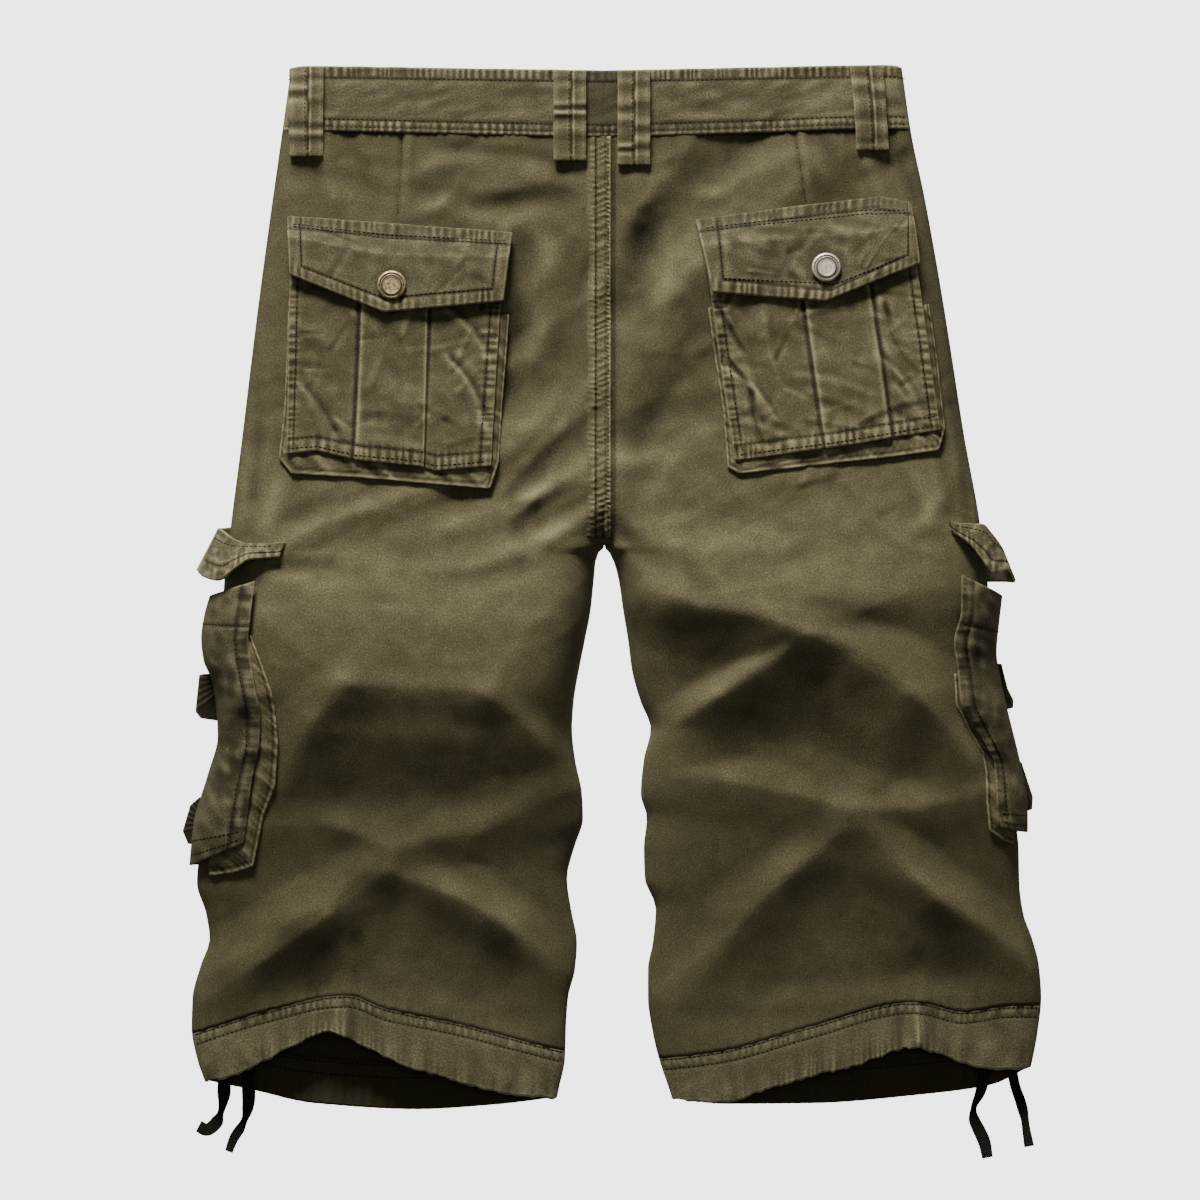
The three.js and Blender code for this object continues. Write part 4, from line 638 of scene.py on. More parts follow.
def curve(rows, at, value=1):
    """Smooth curve through a table's rows that never swings past them."""
    table = np.array(sorted(rows), float)
    key, height = table[:, 0], table[:, value]
    slope = np.diff(height) / np.diff(key)
    product = slope[:-1] * slope[1:]
    total = np.where(product > 0, slope[:-1] + slope[1:], 1)
    inner = np.where(product > 0, 2 * product / total, 0)
    tangent = np.concatenate(([slope[0]], inner, [slope[-1]]))
    i = np.clip(np.searchsorted(key, at, side="right") - 1, 0, len(key) - 2)
    span = key[i + 1] - key[i]
    s = clamp01((at - key[i]) / span)
    start = height[i] * (2 * s**3 - 3 * s**2 + 1) + tangent[i] * span * (s**3 - 2 * s**2 + s)
    end = height[i + 1] * (3 * s**2 - 2 * s**3) + tangent[i + 1] * span * (s**3 - s**2)
    return start + end


def path_at(points, share):
    """Straight-line path through points, at a share of its steps."""
    points = np.array(points, float)
    steps = np.arange(len(points))
    place = clamp01(share) * (len(points) - 1)
    return np.interp(place, steps, points[:, 0]), np.interp(place, steps, points[:, 1])


def lumps(x, y, size, seed):
    """Smooth uneven field between -1 and 1 with lumps of a size, the same in each run."""
    table = np.random.default_rng(seed).uniform(-1, 1, (64, 64))
    x = np.asarray(x, float) / size + 100.3
    y = np.asarray(y, float) / size + 100.7
    i, j = np.floor(x).astype(int), np.floor(y).astype(int)
    s, t = smooth(x - i), smooth(y - j)
    i0, i1, j0, j1 = i % 64, (i + 1) % 64, j % 64, (j + 1) % 64
    low = mix(table[i0, j0], table[i1, j0], s)
    return mix(low, mix(table[i0, j1], table[i1, j1], s), t)


def puckers(kind, along, distance):
    """Small uneven waves that stitching gathers: square to the seam, fading away from it."""
    height, pitch, reach, seed = PUCKERS[kind]
    drift = 0.9 * lumps(along, along * 0, pitch * 2.2, seed)
    strength = 0.55 + 0.45 * lumps(along, distance * 0.4, pitch * 1.6, seed + 1)
    return height * strength * np.sin(2 * math.pi * (along / pitch + drift)) * near(distance, reach)


# The shape of the body, as in the part's source
def side_column(side):
    return 1 if side == "left" else 2


def outer_x(side, y):
    return curve(OUTLINE, y, side_column(side))


def inner_x(side, y):
    centre = CROTCH[0] - INWARD[side] * SEAM_GAP / 2
    return np.where(y >= CROTCH[1], centre, curve(INSEAM, y, side_column(side)))


def side_round(y):
    return curve(SIDE_ROUND, y)


def round_over(distance, radius):
    """Quarter-round profile: 0 at an edge, 1 at a distance of its radius."""
    t = clamp01(distance / radius)
    return np.sqrt(1 - (1 - t) ** 2)


def inseam_distance(side, x, y):
    above = np.hypot(x - CROTCH[0], CROTCH_STRETCH * (y - CROTCH[1]))
    return np.where(y < CROTCH[1], np.abs(x - inner_x(side, y)), above)


def inside_edges(side, x, y, margin):
    """0 in the margin beside the side seam and the inseam, 1 a little further in."""
    from_side = clamp01((np.abs(x - outer_x(side, y)) - margin) / 10)
    return from_side * clamp01((inseam_distance(side, x, y) - margin) / 10)


def fold_height(fold, x, y):
    """Height that one ridge or trough adds."""
    x0, y0, x1, y1, bow, h0, h1, up, down, crest = fold
    length = math.hypot(x1 - x0, y1 - y0)
    ux, uy = (x1 - x0) / length, (y1 - y0) / length
    along = (x - x0) * ux + (y - y0) * uy
    turn = -1 if ux < 0 else 1
    share = clamp01(along / length)
    across = turn * ((y - y0) * ux - (x - x0) * uy) - bow * 4 * share * (1 - share)
    past = np.maximum(np.maximum(-along, along - length), 0)
    width = np.where(across > 0, up, down)
    reach = clamp01(np.hypot(across / width, past / (FOLD_END * (up + down))))
    return mix(h0, h1, share) * (1 - reach**crest) ** FOLD_FOOT


def folds_at(side, x, y):
    """Ridges that meet join softly and don't add up."""
    total = 0
    for fold in FOLDS[side]:
        total = total + np.maximum(fold_height(fold, x, y), 0) ** FOLD_BLEND
    height = FOLD_DEPTH * total ** (1 / FOLD_BLEND)
    for fold in FOLDS["seat"]:
        height = height + fold_height(fold, x, y)
    return height


def body_height(side, x, y):
    """Near the centre seam the two halves share one height, so that they meet."""
    own = curve(HEIGHT, y, side_column(side)) + folds_at(side, x, y)
    other = curve(HEIGHT, y, side_column(OTHER[side])) + folds_at(OTHER[side], x, y)
    near_seam = 1 - smooth(np.abs(x - CROTCH[0]) / SEAM_BLEND)
    return mix(own, other, 0.5 * near_seam * smooth((y - CROTCH[1]) / SEAM_BLEND))


def back_height(side, x, y):
    """Outer surface of the back cloth."""
    side_share = round_over(np.abs(x - outer_x(side, y)), side_round(y))
    inseam_share = round_over(inseam_distance(side, x, y), INSEAM_ROUND)
    seam = SIDE_SEAM_HEIGHT + SEAM_GAP / 2
    return seam + (body_height(side, x, y) - seam) * side_share * inseam_share


def front_height(side, x, y):
    """Outer surface of the front cloth, which is its underside."""
    from_side = np.abs(x - outer_x(side, y))
    across = 1 - smooth((from_side - FRONT_LIFT["reach"]) / FRONT_LIFT["fade"])
    top = smooth((FRONT_LIFT["top"] + FRONT_LIFT["fade"] - y) / FRONT_LIFT["fade"])
    bottom = smooth((y - FRONT_LIFT["bottom"] + FRONT_LIFT["fade"]) / FRONT_LIFT["fade"])
    lift = FRONT_LIFT["height"] * across * top * bottom
    side_share = round_over(from_side, FRONT_EDGE_ROUND)
    inseam_share = round_over(inseam_distance(side, x, y), FRONT_EDGE_ROUND)
    seam = SIDE_SEAM_HEIGHT - SEAM_GAP / 2
    return lift + (seam - lift) * (1 - side_share * inseam_share)


# Creases and puckers on the back
def side_share_at(side, x, y):
    return (x - outer_x(side, y)) / (inner_x(side, y) - outer_x(side, y))


def line_y(table, side, x, y):
    return curve(table[side], side_share_at(side, x, y))


def add_folds(folds, x, y):
    """Sum of many small folds, each worked out only near its own line."""
    x, y = same_shape(x, y)
    total = np.zeros(x.shape)
    for fold in folds:
        x0, y0, x1, y1 = fold[:4]
        reach = math.hypot(x1 - x0, y1 - y0) / 2 + fold[7] + fold[8]
        close = np.hypot(x - (x0 + x1) / 2, y - (y0 + y1) / 2) < reach
        if close.any():
            total[close] += fold_height(fold, x[close], y[close])
    return total


def wear_creases():
    """Rows of fine creases, seeded so that each run makes the same ones."""
    random = np.random.default_rng(29)
    rows = []
    for x0, y0, x1, y1, count, slant, spread, short, long, height in WEAR_CREASES:
        for _ in range(count):
            angle = math.radians(slant + spread * random.uniform(-1, 1))
            length = random.uniform(short, long)
            x, y = random.uniform(x0, x1), random.uniform(y0, y1)
            lift = 1.5 * height * random.uniform(0.4, 1) * random.choice((-1, 1))
            up, down = random.uniform(3, 8, 2)
            end_x, end_y = x + length * math.cos(angle), y + length * math.sin(angle)
            bow = random.uniform(-0.1, 0.1) * length
            rows.append((x, y, end_x, end_y, bow, lift, lift * 0.3, up, down, 1.3))
    return rows


def dart_creases():
    """The sewn dart: a sharp step beside a low ridge."""
    rows = []
    for x0, y0, x1, y1 in DARTS:
        rows.append((x0, y0, x1, y1, 0, -1.1, -0.7, 2.6, 2.6, 1.2))
        rows.append((x0 + 4.5, y0, x1 + 4, y1, 0, 1.0, 0.4, 4.5, 4.5, 1.5))
    return rows


SMALL_FOLDS = list(CREASES) + wear_creases() + dart_creases()


def grain(x, y, seed):
    """Soft unevenness of washed cloth."""
    coarse = 0.8 * lumps(x + 0.3 * y, y - 0.2 * x, 44, seed)
    middle = 0.42 * lumps(x - 0.5 * y, y + 0.4 * x, 17, seed + 1)
    fine = 0.16 * lumps(x + 0.7 * y, y - 0.7 * x, 8, seed + 2)
    return (coarse + middle + fine) * mix(0.3, 1, smooth((y + 60) / 110))


def creases_at(x, y):
    return add_folds(SMALL_FOLDS, x, y) + grain(x, y, 3)


def dart_puckers(x, y):
    total = 0
    for x0, y0, x1, y1 in DARTS:
        middle = x0 + (x1 - x0) * (y - y0) / (y1 - y0)
        inside = smooth((y - y1 + 6) / 6)
        total = total + puckers("dart", y, np.abs(x - middle)) * inside
    return total


def back_detail(side, x, y):
    """Creases and seam puckers that the back cloth carries on its folds."""
    edge = clamp01(np.abs(x - outer_x(side, y)) / 6)
    below_band = line_y(BAND_SEAM, side, x, y) - y
    above_hem = y - line_y(HEM_SEAM, side, x, y)
    total = creases_at(x, y) + dart_puckers(x, y)
    total = total + puckers("band_seam", x, below_band)
    total = total + puckers("hem_seam", x, above_hem)
    total = total + np.where(y > CROTCH[1], puckers("centre_seam", y, np.abs(x + 8)), 0)
    return total * edge


def back_surface(side, x, y):
    return back_height(side, x, y) + back_detail(side, x, y)


def gathers_at(side, x, y):
    """Waves of the back hem, from nothing at its seam to full height at its edge."""
    start = outer_x(side, y) + INWARD[side] * side_round(y)
    end = inner_x(side, y) - INWARD[side] * INSEAM_ROUND
    along = GATHERS["count"] * (x - start) / (end - start)
    inside = (along > 0) & (along < GATHERS["count"])
    strength = 1 - GATHERS["uneven"] * (1 - np.cos(GATHERS["beat"] * np.floor(along)))
    return np.where(inside, GATHERS["height"] * strength * (1 - np.cos(2 * math.pi * along)) / 2, 0)


# Grids and meshes
def gradient_normals(points, up_at):
    """Unit normals of a grid of points, facing up at one place of it."""
    across = np.gradient(points, axis=1)
    along = np.gradient(points, axis=0)
    normals = np.cross(across, along)
    normals /= np.linalg.norm(normals, axis=2, keepdims=True) + 1e-12
    rows, columns = points.shape[:2]
    place = normals[int(up_at[0] * (rows - 1)), int(up_at[1] * (columns - 1))]
    return normals if place[2] > 0 else -normals


def soften(grid, passes):
    """Blurs a grid of numbers along both of its directions."""
    for _ in range(passes):
        padded = np.pad(grid, ((1, 1), (0, 0)), mode="edge")
        grid = (padded[:-2] + 2 * padded[1:-1] + padded[2:]) / 4
        padded = np.pad(grid, ((0, 0), (1, 1)), mode="edge")
        grid = (padded[:, :-2] + 2 * padded[:, 1:-1] + padded[:, 2:]) / 4
    return grid


def relief_tone(points, normals, passes, depth):
    """Wear on what stands proud and shade in what lies low, between -1 and 1."""
    blurred = np.stack([soften(points[..., k], passes) for k in range(3)], axis=2)
    proud = np.sum((points - blurred) * normals, axis=2)
    return np.clip(proud / depth, -1, 1)


def arc_lengths(points):
    """Lengths along the rows and down the columns of a grid, as its own map."""
    across = np.linalg.norm(np.diff(points, axis=1), axis=2)
    down = np.linalg.norm(np.diff(points, axis=0), axis=2)
    u = np.concatenate((np.zeros((points.shape[0], 1)), np.cumsum(across, axis=1)), axis=1)
    v = np.concatenate((np.zeros((1, points.shape[1])), np.cumsum(down, axis=0)), axis=0)
    return u, v


def grid_area(points):
    across = np.diff(points, axis=1)[:-1]
    down = np.diff(points, axis=0)[:, :-1]
    return float(np.sum(np.linalg.norm(np.cross(across, down), axis=2)))


def mesh_object(name, vertices, faces, uv=None, tone=None):
    mesh = bpy.data.meshes.new(name)
    mesh.from_pydata((np.asarray(vertices) * MM).tolist(), [], faces)
    if uv is not None:
        layer = mesh.uv_layers.new(name="cloth")
        corners = np.empty(len(mesh.loops), int)
        mesh.loops.foreach_get("vertex_index", corners)
        layer.data.foreach_set("uv", (np.asarray(uv)[corners] * MM).ravel())
    if tone is not None:
        attribute = mesh.attributes.new("tone", "FLOAT", "POINT")
        attribute.data.foreach_set("value", np.asarray(tone, float))
    mesh.polygons.foreach_set("use_smooth", [True] * len(mesh.polygons))
    piece = bpy.data.objects.new(name, mesh)
    bpy.context.scene.collection.objects.link(piece)
    return piece


def wall(name, points, normals, thickness, tone, rim=0.32):
    """Closed cloth wall: outer grid, inner grid and a rounded rim between them."""
    rows, columns = points.shape[:2]
    inner = points - normals * thickness
    u, v = arc_lengths(points)
    count = rows * columns
    index = np.arange(count).reshape(rows, columns)
    loop = np.concatenate((index[0, :-1], index[:-1, -1], index[-1, :0:-1], index[:0:-1, 0]))
    flat_points = points.reshape(-1, 3)
    flat_inner = inner.reshape(-1, 3)
    beside = np.zeros_like(points)
    beside[0] += points[0] - points[1]
    beside[-1] += points[-1] - points[-2]
    beside[:, 0] += points[:, 0] - points[:, 1]
    beside[:, -1] += points[:, -1] - points[:, -2]
    outward = beside.reshape(-1, 3)[loop]
    outward /= np.linalg.norm(outward, axis=1, keepdims=True) + 1e-12
    middle = (flat_points[loop] + flat_inner[loop]) / 2 + outward * thickness * rim
    vertices = np.concatenate((flat_points, flat_inner, middle))
    a, b = index[:-1, :-1].ravel(), index[1:, :-1].ravel()
    c, d = index[1:, 1:].ravel(), index[:-1, 1:].ravel()
    top = np.stack((a, b, c, d), axis=1)
    under = np.stack((a, d, c, b), axis=1) + count
    here, there = loop, np.roll(loop, -1)
    place = np.arange(len(loop)) + 2 * count
    after = np.roll(place, -1)
    upper_rim = np.stack((here, there, after, place), axis=1)
    lower_rim = np.stack((place, after, there + count, here + count), axis=1)
    faces = np.concatenate((top, under, upper_rim, lower_rim))
    corner = vertices[faces]
    volume = np.sum(corner[:, 0] * np.cross(corner[:, 1], corner[:, 2]))
    volume += np.sum(corner[:, 0] * np.cross(corner[:, 2], corner[:, 3]))
    if volume < 0:
        faces = faces[:, ::-1]
    map_points = np.stack((u.ravel(), v.ravel()), axis=1)
    uv = np.concatenate((map_points, map_points, map_points[loop]))
    flat_tone = tone.ravel()
    # The inner face gets painted shade; the rim is at least as pale as a worn edge.
    tones = np.concatenate((flat_tone, np.full(count, -0.25), np.maximum(flat_tone[loop], 0.35)))
    return mesh_object(name, vertices, faces.tolist(), uv, tones)


# Materials
def new_group(name, inputs, outputs):
    group = bpy.data.node_groups.new(name, "ShaderNodeTree")
    for label, kind, value in inputs:
        socket = group.interface.new_socket(label, in_out="INPUT", socket_type=kind)
        if value is not None:
            socket.default_value = value
    for label, kind in outputs:
        group.interface.new_socket(label, in_out="OUTPUT", socket_type=kind)
    return group, group.nodes.new("NodeGroupInput"), group.nodes.new("NodeGroupOutput")


def math_node(tree, operation, *values):
    node = tree.nodes.new("ShaderNodeMath")
    node.operation = operation
    for socket, value in zip(node.inputs, values):
        if isinstance(value, (int, float)):
            socket.default_value = value
        else:
            tree.links.new(value, socket)
    return node.outputs[0]


def mix_colour(tree, factor, first, second):
    node = tree.nodes.new("ShaderNodeMix")
    node.data_type = "RGBA"
    for socket, value in ((node.inputs[0], factor), (node.inputs[6], first), (node.inputs[7], second)):
        if isinstance(value, (int, float, tuple)):
            socket.default_value = value
        else:
            tree.links.new(value, socket)
    return node.outputs[2]


def noise_node(tree, vector, scale, detail=3, roughness=0.55):
    node = tree.nodes.new("ShaderNodeTexNoise")
    node.inputs["Scale"].default_value = scale
    node.inputs["Detail"].default_value = detail
    node.inputs["Roughness"].default_value = roughness
    tree.links.new(vector, node.inputs["Vector"])
    return node.outputs["Fac"]


def map_range(tree, value, low, high, new_low, new_high):
    node = tree.nodes.new("ShaderNodeMapRange")
    tree.links.new(value, node.inputs["Value"])
    for label, number in (("From Min", low), ("From Max", high), ("To Min", new_low), ("To Max", new_high)):
        node.inputs[label].default_value = number
    return node.outputs["Result"]


def twill_group():
    """Fine slanting ribs of a twill, with threads of uneven thickness."""
    group, start, end = new_group(
        "twill_ribs",
        (("Map", "NodeSocketVector", None), ("Pitch", "NodeSocketFloat", 0.0007)),
        (("Height", "NodeSocketFloat"),),
    )
    separate = group.nodes.new("ShaderNodeSeparateXYZ")
    group.links.new(start.outputs["Map"], separate.inputs[0])
    wander = noise_node(group, start.outputs["Map"], 420, 2)
    slant = math_node(group, "ADD", separate.outputs[0], separate.outputs[1])
    rows = math_node(group, "DIVIDE", slant, start.outputs["Pitch"])
    rows = math_node(group, "ADD", rows, math_node(group, "MULTIPLY", wander, 2.4))
    ribs = math_node(group, "SINE", math_node(group, "MULTIPLY", rows, 2 * math.pi))
    threads = noise_node(group, start.outputs["Map"], 1500, 2)
    height = math_node(group, "ADD", math_node(group, "MULTIPLY", ribs, 0.35), threads)
    group.links.new(height, end.inputs["Height"])
    return group


def wear_and_shade_group():
    """Colour of washed cloth: pale where it is worn, dark with painted shade in the ditches, uneven all
    over.
    """
    group, start, end = new_group(
        "wear_and_painted_shade_colour",
        (
            ("Map", "NodeSocketVector", None),
            ("Tone", "NodeSocketFloat", 0.0),
            ("Cloth", "NodeSocketColor", OLIVE),
            ("Worn", "NodeSocketColor", OLIVE_WORN),
            ("Ditch", "NodeSocketColor", OLIVE_SHADE),
        ),
        (("Color", "NodeSocketColor"), ("Wear", "NodeSocketFloat")),
    )
    fine = noise_node(group, start.outputs["Map"], 820, 3, 0.8)
    broad = noise_node(group, start.outputs["Map"], 60, 5, 0.7)
    speckle = map_range(group, fine, 0.25, 0.75, -0.66, 0.66)
    patches = map_range(group, broad, 0.3, 0.7, -0.16, 0.16)
    tone = math_node(group, "ADD", math_node(group, "ADD", start.outputs["Tone"], speckle), patches)
    worn = map_range(group, tone, 0.0, 1.0, 0.0, 1.0)
    # Tone below zero mixes towards the shade colour: painted shade in ditches, under flaps and beside seams,
    # and dark speckle.
    ditch = map_range(group, tone, 0.0, -1.0, 0.0, 1.0)
    colour = mix_colour(group, worn, start.outputs["Cloth"], start.outputs["Worn"])
    colour = mix_colour(group, ditch, colour, start.outputs["Ditch"])
    group.links.new(colour, end.inputs["Color"])
    group.links.new(worn, end.inputs["Wear"])
    return group


TWILL = twill_group()
WEAR_AND_SHADE = wear_and_shade_group()


def place_group(tree, group, **values):
    node = tree.nodes.new("ShaderNodeGroup")
    node.node_tree = group
    for label, value in values.items():
        if isinstance(value, (int, float, tuple)):
            node.inputs[label].default_value = value
        else:
            tree.links.new(value, node.inputs[label])
    return node


def new_material(name):
    material = bpy.data.materials.new(name)
    material.use_nodes = True
    return material, material.node_tree, material.node_tree.nodes["Principled BSDF"]


def tone_value(tree):
    """The tone that each mesh keeps on its points: on cloth, paler from being worn above zero and painted
    shade below zero; on a snap, lower in its dark grooves.
    """
    node = tree.nodes.new("ShaderNodeAttribute")
    node.attribute_name = "tone"
    return node.outputs["Fac"]


def add_bump(tree, shader, height, strength, distance):
    bump = tree.nodes.new("ShaderNodeBump")
    bump.inputs["Strength"].default_value = strength
    bump.inputs["Distance"].default_value = distance
    tree.links.new(height, bump.inputs["Height"])
    tree.links.new(bump.outputs["Normal"], shader.inputs["Normal"])


def cloth_material(name, cloth=OLIVE, worn=OLIVE_WORN, ditch=OLIVE_SHADE, pitch=0.0008, relief=0.5):
    material, tree, shader = new_material(name)
    uv = tree.nodes.new("ShaderNodeUVMap")
    uv.uv_map = "cloth"
    place = uv.outputs["UV"]
    wear_shade = place_group(tree, WEAR_AND_SHADE, Map=place, Tone=tone_value(tree), Cloth=cloth, Worn=worn, Ditch=ditch)
    ribs = place_group(tree, TWILL, Map=place, Pitch=pitch)
    tree.links.new(wear_shade.outputs["Color"], shader.inputs["Base Color"])
    rough = map_range(tree, wear_shade.outputs["Wear"], 0, 1, 0.93, 0.82)
    tree.links.new(rough, shader.inputs["Roughness"])
    shader.inputs["Specular IOR Level"].default_value = 0.18
    add_bump(tree, shader, ribs.outputs["Height"], relief, 0.0004)
    return material


def metal_material(name, metal, dark, worn_through, toned=True):
    """Antique finish: dark in the grooves, worn through to bare metal on the high faces."""
    material, tree, shader = new_material(name)
    place = tree.nodes.new("ShaderNodeTexCoord").outputs["Object"]
    patina = noise_node(tree, place, 420, 5, 0.75)
    scratches = noise_node(tree, place, 1400, 3, 0.6)
    mask = map_range(tree, patina, worn_through - 0.12, worn_through + 0.12, 0, 1)
    if toned:
        low = map_range(tree, tone_value(tree), -0.2, 0.9, 1, 0)
        mask = math_node(tree, "MAXIMUM", mask, low)
    tree.links.new(mix_colour(tree, mask, metal, dark), shader.inputs["Base Color"])
    tree.links.new(map_range(tree, mask, 0, 1, 0.36, 0.55), shader.inputs["Roughness"])
    tree.links.new(map_range(tree, mask, 0, 1, 0.4, 0.75), shader.inputs["Metallic"])
    add_bump(tree, shader, scratches, 0.25, 0.0002)
    return material


TWILL_CLOTH = cloth_material("washed_twill")
DOUBLE_TWILL = cloth_material("washed_twill_double", OLIVE_DOUBLE)
INSIDE_TWILL = cloth_material("twill_inside", INSIDE_OLIVE, INSIDE_WORN)
# Cargo faces: a darker copy of the cloth, as painted shade.
SHADED_CARGO_TWILL = cloth_material("cargo_twill_painted_shade", SHADED_CARGO_OLIVE, SHADED_CARGO_WORN)
TAB_TWILL = cloth_material("tab_twill", TAB_DARK, TAB_WORN)
TACK_THREAD = cloth_material("bar_tack_thread", TACK_OLIVE, OLIVE_WORN, OLIVE, 0.0005, 0.4)
RIBBON = cloth_material("drawcord_ribbon", CORD_BLACK, CORD_WORN, CORD_DITCH, 0.0011, 0.8)
THREAD_MATERIAL = cloth_material("seam_thread", THREAD, OLIVE, THREAD_DITCH, 0.0005, 0.4)
BUTTON_METAL = metal_material("button_brass", BRASS, BRASS_DARK, 0.55, False)
SNAP_METAL = {
    "left": metal_material("snap_brass_left", BRASS, BRASS_DARK, 0.53),
    "right": metal_material("snap_brass_right", SILVER_WORN, BRASS_DARK, 0.62),
}


# Dressing pieces
def dress(piece, material, nodes=()):
    piece.data.materials.append(material)
    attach(piece, "root")
    if nodes:
        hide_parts(*nodes)


def cloth_piece(name, node, points, thickness, up_at, material,
                normals=None, tone=None, wear_and_shade=(10, 0.5)):
    """Makes and dresses a sheet; its flat cut is measured along its grid."""
    if normals is None:
        normals = gradient_normals(points, up_at)
    shade = 0 if tone is None else tone
    # The relief tone makes what stands proud paler, as worn, and paints shade in what lies low.
    if wear_and_shade is not None:
        shade = shade + relief_tone(points, normals, *wear_and_shade)
    piece = wall(name, points, normals, thickness, np.clip(shade, -1, 1))
    dress(piece, material, [node] if node else [])
    u, v = arc_lengths(points)
    width, length = float(u[:, -1].max()) * MM, float(v[-1].max()) * MM
    area = grid_area(points) * MM * MM
    width, length = round(width, 3), round(length, 3)
    area = min(round(area, 4), width * length)


# Panels
def panel_columns(edge_steps, middle_steps):
    """Each column's share of the middle and its places on the two rounds."""
    turn = 1 - np.cos(np.linspace(0, math.pi / 2, edge_steps + 1))
    middle = np.linspace(0, 1, middle_steps + 1)[1:-1]
    share = np.concatenate((0 * turn, middle, 0 * turn + 1))
    outer = np.concatenate((turn, 0 * middle + 1, 0 * turn + 1))
    inner = np.concatenate((0 * turn + 1, 0 * middle + 1, turn[::-1]))
    return share, outer, inner


def column_x(side, columns, y, outer_round, inner_round):
    share, outer, inner = columns
    start = outer_x(side, y) + INWARD[side] * outer_round(y) * outer
    end = inner_x(side, y) - INWARD[side] * inner_round * inner
    return mix(start, end, share)


def panel_grid(side, columns, shares, top_table, top_shift, bottom_table, bottom_shift,
               outer_round, inner_round):
    """Places on a panel between a line across its top and a line across its bottom."""
    def between(across):
        top = curve(top_table[side], across) + top_shift
        bottom = curve(bottom_table[side], across) + bottom_shift
        return mix(top, bottom, shares[:, None])

    guess = between(np.full((1, len(columns[0])), 0.5))
    x = column_x(side, columns, guess, outer_round, inner_round)
    y = between(side_share_at(side, x, guess))
    return column_x(side, columns, y, outer_round, inner_round), y


def panel_normals(side, points, facing):
    normals = gradient_normals(points, (0.5, 0.5)) * facing
    normals[:, 0] = (-INWARD[side], 0, 0)
    below = points[:, -1, 1] < CROTCH[1] + 1
    normals[below, -1] = (INWARD[side], 0, 0)
    return normals


def rows_down(top, bottom):
    """Row shares of a back panel from its top to its bottom, closer over the thigh."""
    coarse, start, end = BACK_SPACING["coarse"], BACK_SPACING["from"], BACK_SPACING["to"]
    parts = (
        np.arange(top, start, -coarse),
        np.arange(start, end, -BACK_SPACING["fine"]),
        np.linspace(end, bottom, int((end - bottom) / coarse) + 1),
    )
    heights = np.concatenate(parts)
    return (heights[0] - heights) / (heights[0] - heights[-1])


def front_round(y):
    return FRONT_EDGE_ROUND + 0 * y


def back_panel(side):
    top, bottom = BAND_SEAM[side][-1][1], HEM_SEAM[side][-1][1]
    shares = rows_down(top, bottom)
    columns = panel_columns(BACK_SPACING["edge"], BACK_SPACING["middle"])
    x, y = panel_grid(side, columns, shares, BAND_SEAM, -SEAM_GAP / 2, HEM_SEAM, SEAM_GAP / 2,
                      side_round, INSEAM_ROUND)
    detail = back_detail(side, x, y)
    points = places(x, y, back_height(side, x, y) + detail)
    # Painted shadow under the waistband's edge, painted shade along the hem seam and beside the felled
    # strip, and the seat and shins darker than the thighs; the creases' relief is paler where it stands
    # proud and gets painted shade where it lies low.
    band_shadow = near(line_y(BAND_SEAM, side, x, y) - y, 1.8)
    hem_seam_shade = near(y - line_y(HEM_SEAM, side, x, y), 1.4)
    seam_shade = 0.8 * near(x - 0.9, 1.3) * smooth((y - CROTCH[1]) / 6)
    darker_than_thighs = DARKER_THAN_THIGHS["seat"] * smooth((y - 40) / 110) + DARKER_THAN_THIGHS["shin"] * smooth((-95 - y) / 60)
    tone = 0.3 * (detail - soften(detail, 30)) - 0.9 * band_shadow - 0.4 * hem_seam_shade - seam_shade - darker_than_thighs
    cloth_piece(f"back_cloth_{side}", f"back_{side}", points, BACK_CLOTH, (0.5, 0.5), TWILL_CLOTH,
                panel_normals(side, points, 1), tone, None)


def front_panel(side):
    rows, *columns = GRIDS["front"]
    x, y = panel_grid(side, panel_columns(*columns), even(rows), BAND_SEAM, -SEAM_GAP / 2, FRONT_HEM_EDGE,
                      FRONT_HEM_DEPTH, front_round, FRONT_EDGE_ROUND)
    z = front_height(side, x, y)
    soft = 0.35 * np.abs(lumps(x, y, 30, 21)) + 0.2 * np.abs(lumps(x + y, y, 13, 22))
    inside = inside_edges(side, x, y, 12)
    points = places(x, y, z + soft * inside)
    cloth_piece(f"front_cloth_{side}", f"front_{side}", points, FRONT_CLOTH, (0.5, 0.5), INSIDE_TWILL,
                panel_normals(side, points, -1))


def hem_surface(side, x, y):
    """Gathered casing: small upright folds by its cord, and a stitched band along its seam."""
    seam = line_y(HEM_SEAM, side, x, y)
    edge = line_y(HEM_EDGE, side, x, y)
    down = clamp01((seam - y) / (seam - edge))
    inner = clamp01(np.abs(x - outer_x(side, y)) / 8)
    drawn = 0.5 + 0.5 * lumps(x, 0 * x, 26, 39)
    folds = puckers("hem_cord", x, 0 * x) * down**4 + puckers("hem_fold", x, 0 * x) * down**2
    folds = folds * drawn + 0.5 * lumps(x + 0.4 * y, y - 0.6 * x, 14, 41) * down
    between_rows = np.exp(-(((seam - y) - (HEM_ROWS[0] + HEM_ROWS[1]) / 2) / 2.6) ** 4)
    band = puckers("hem_band", x, 0 * x) * between_rows
    for drop in HEM_ROWS:
        band = band - 0.3 * near(seam - y - drop, 0.9)
    detail = creases_at(x, y) * 0.6 + folds + band
    return back_height(side, x, y) + gathers_at(side, x, y) * down**1.5 + detail * inner


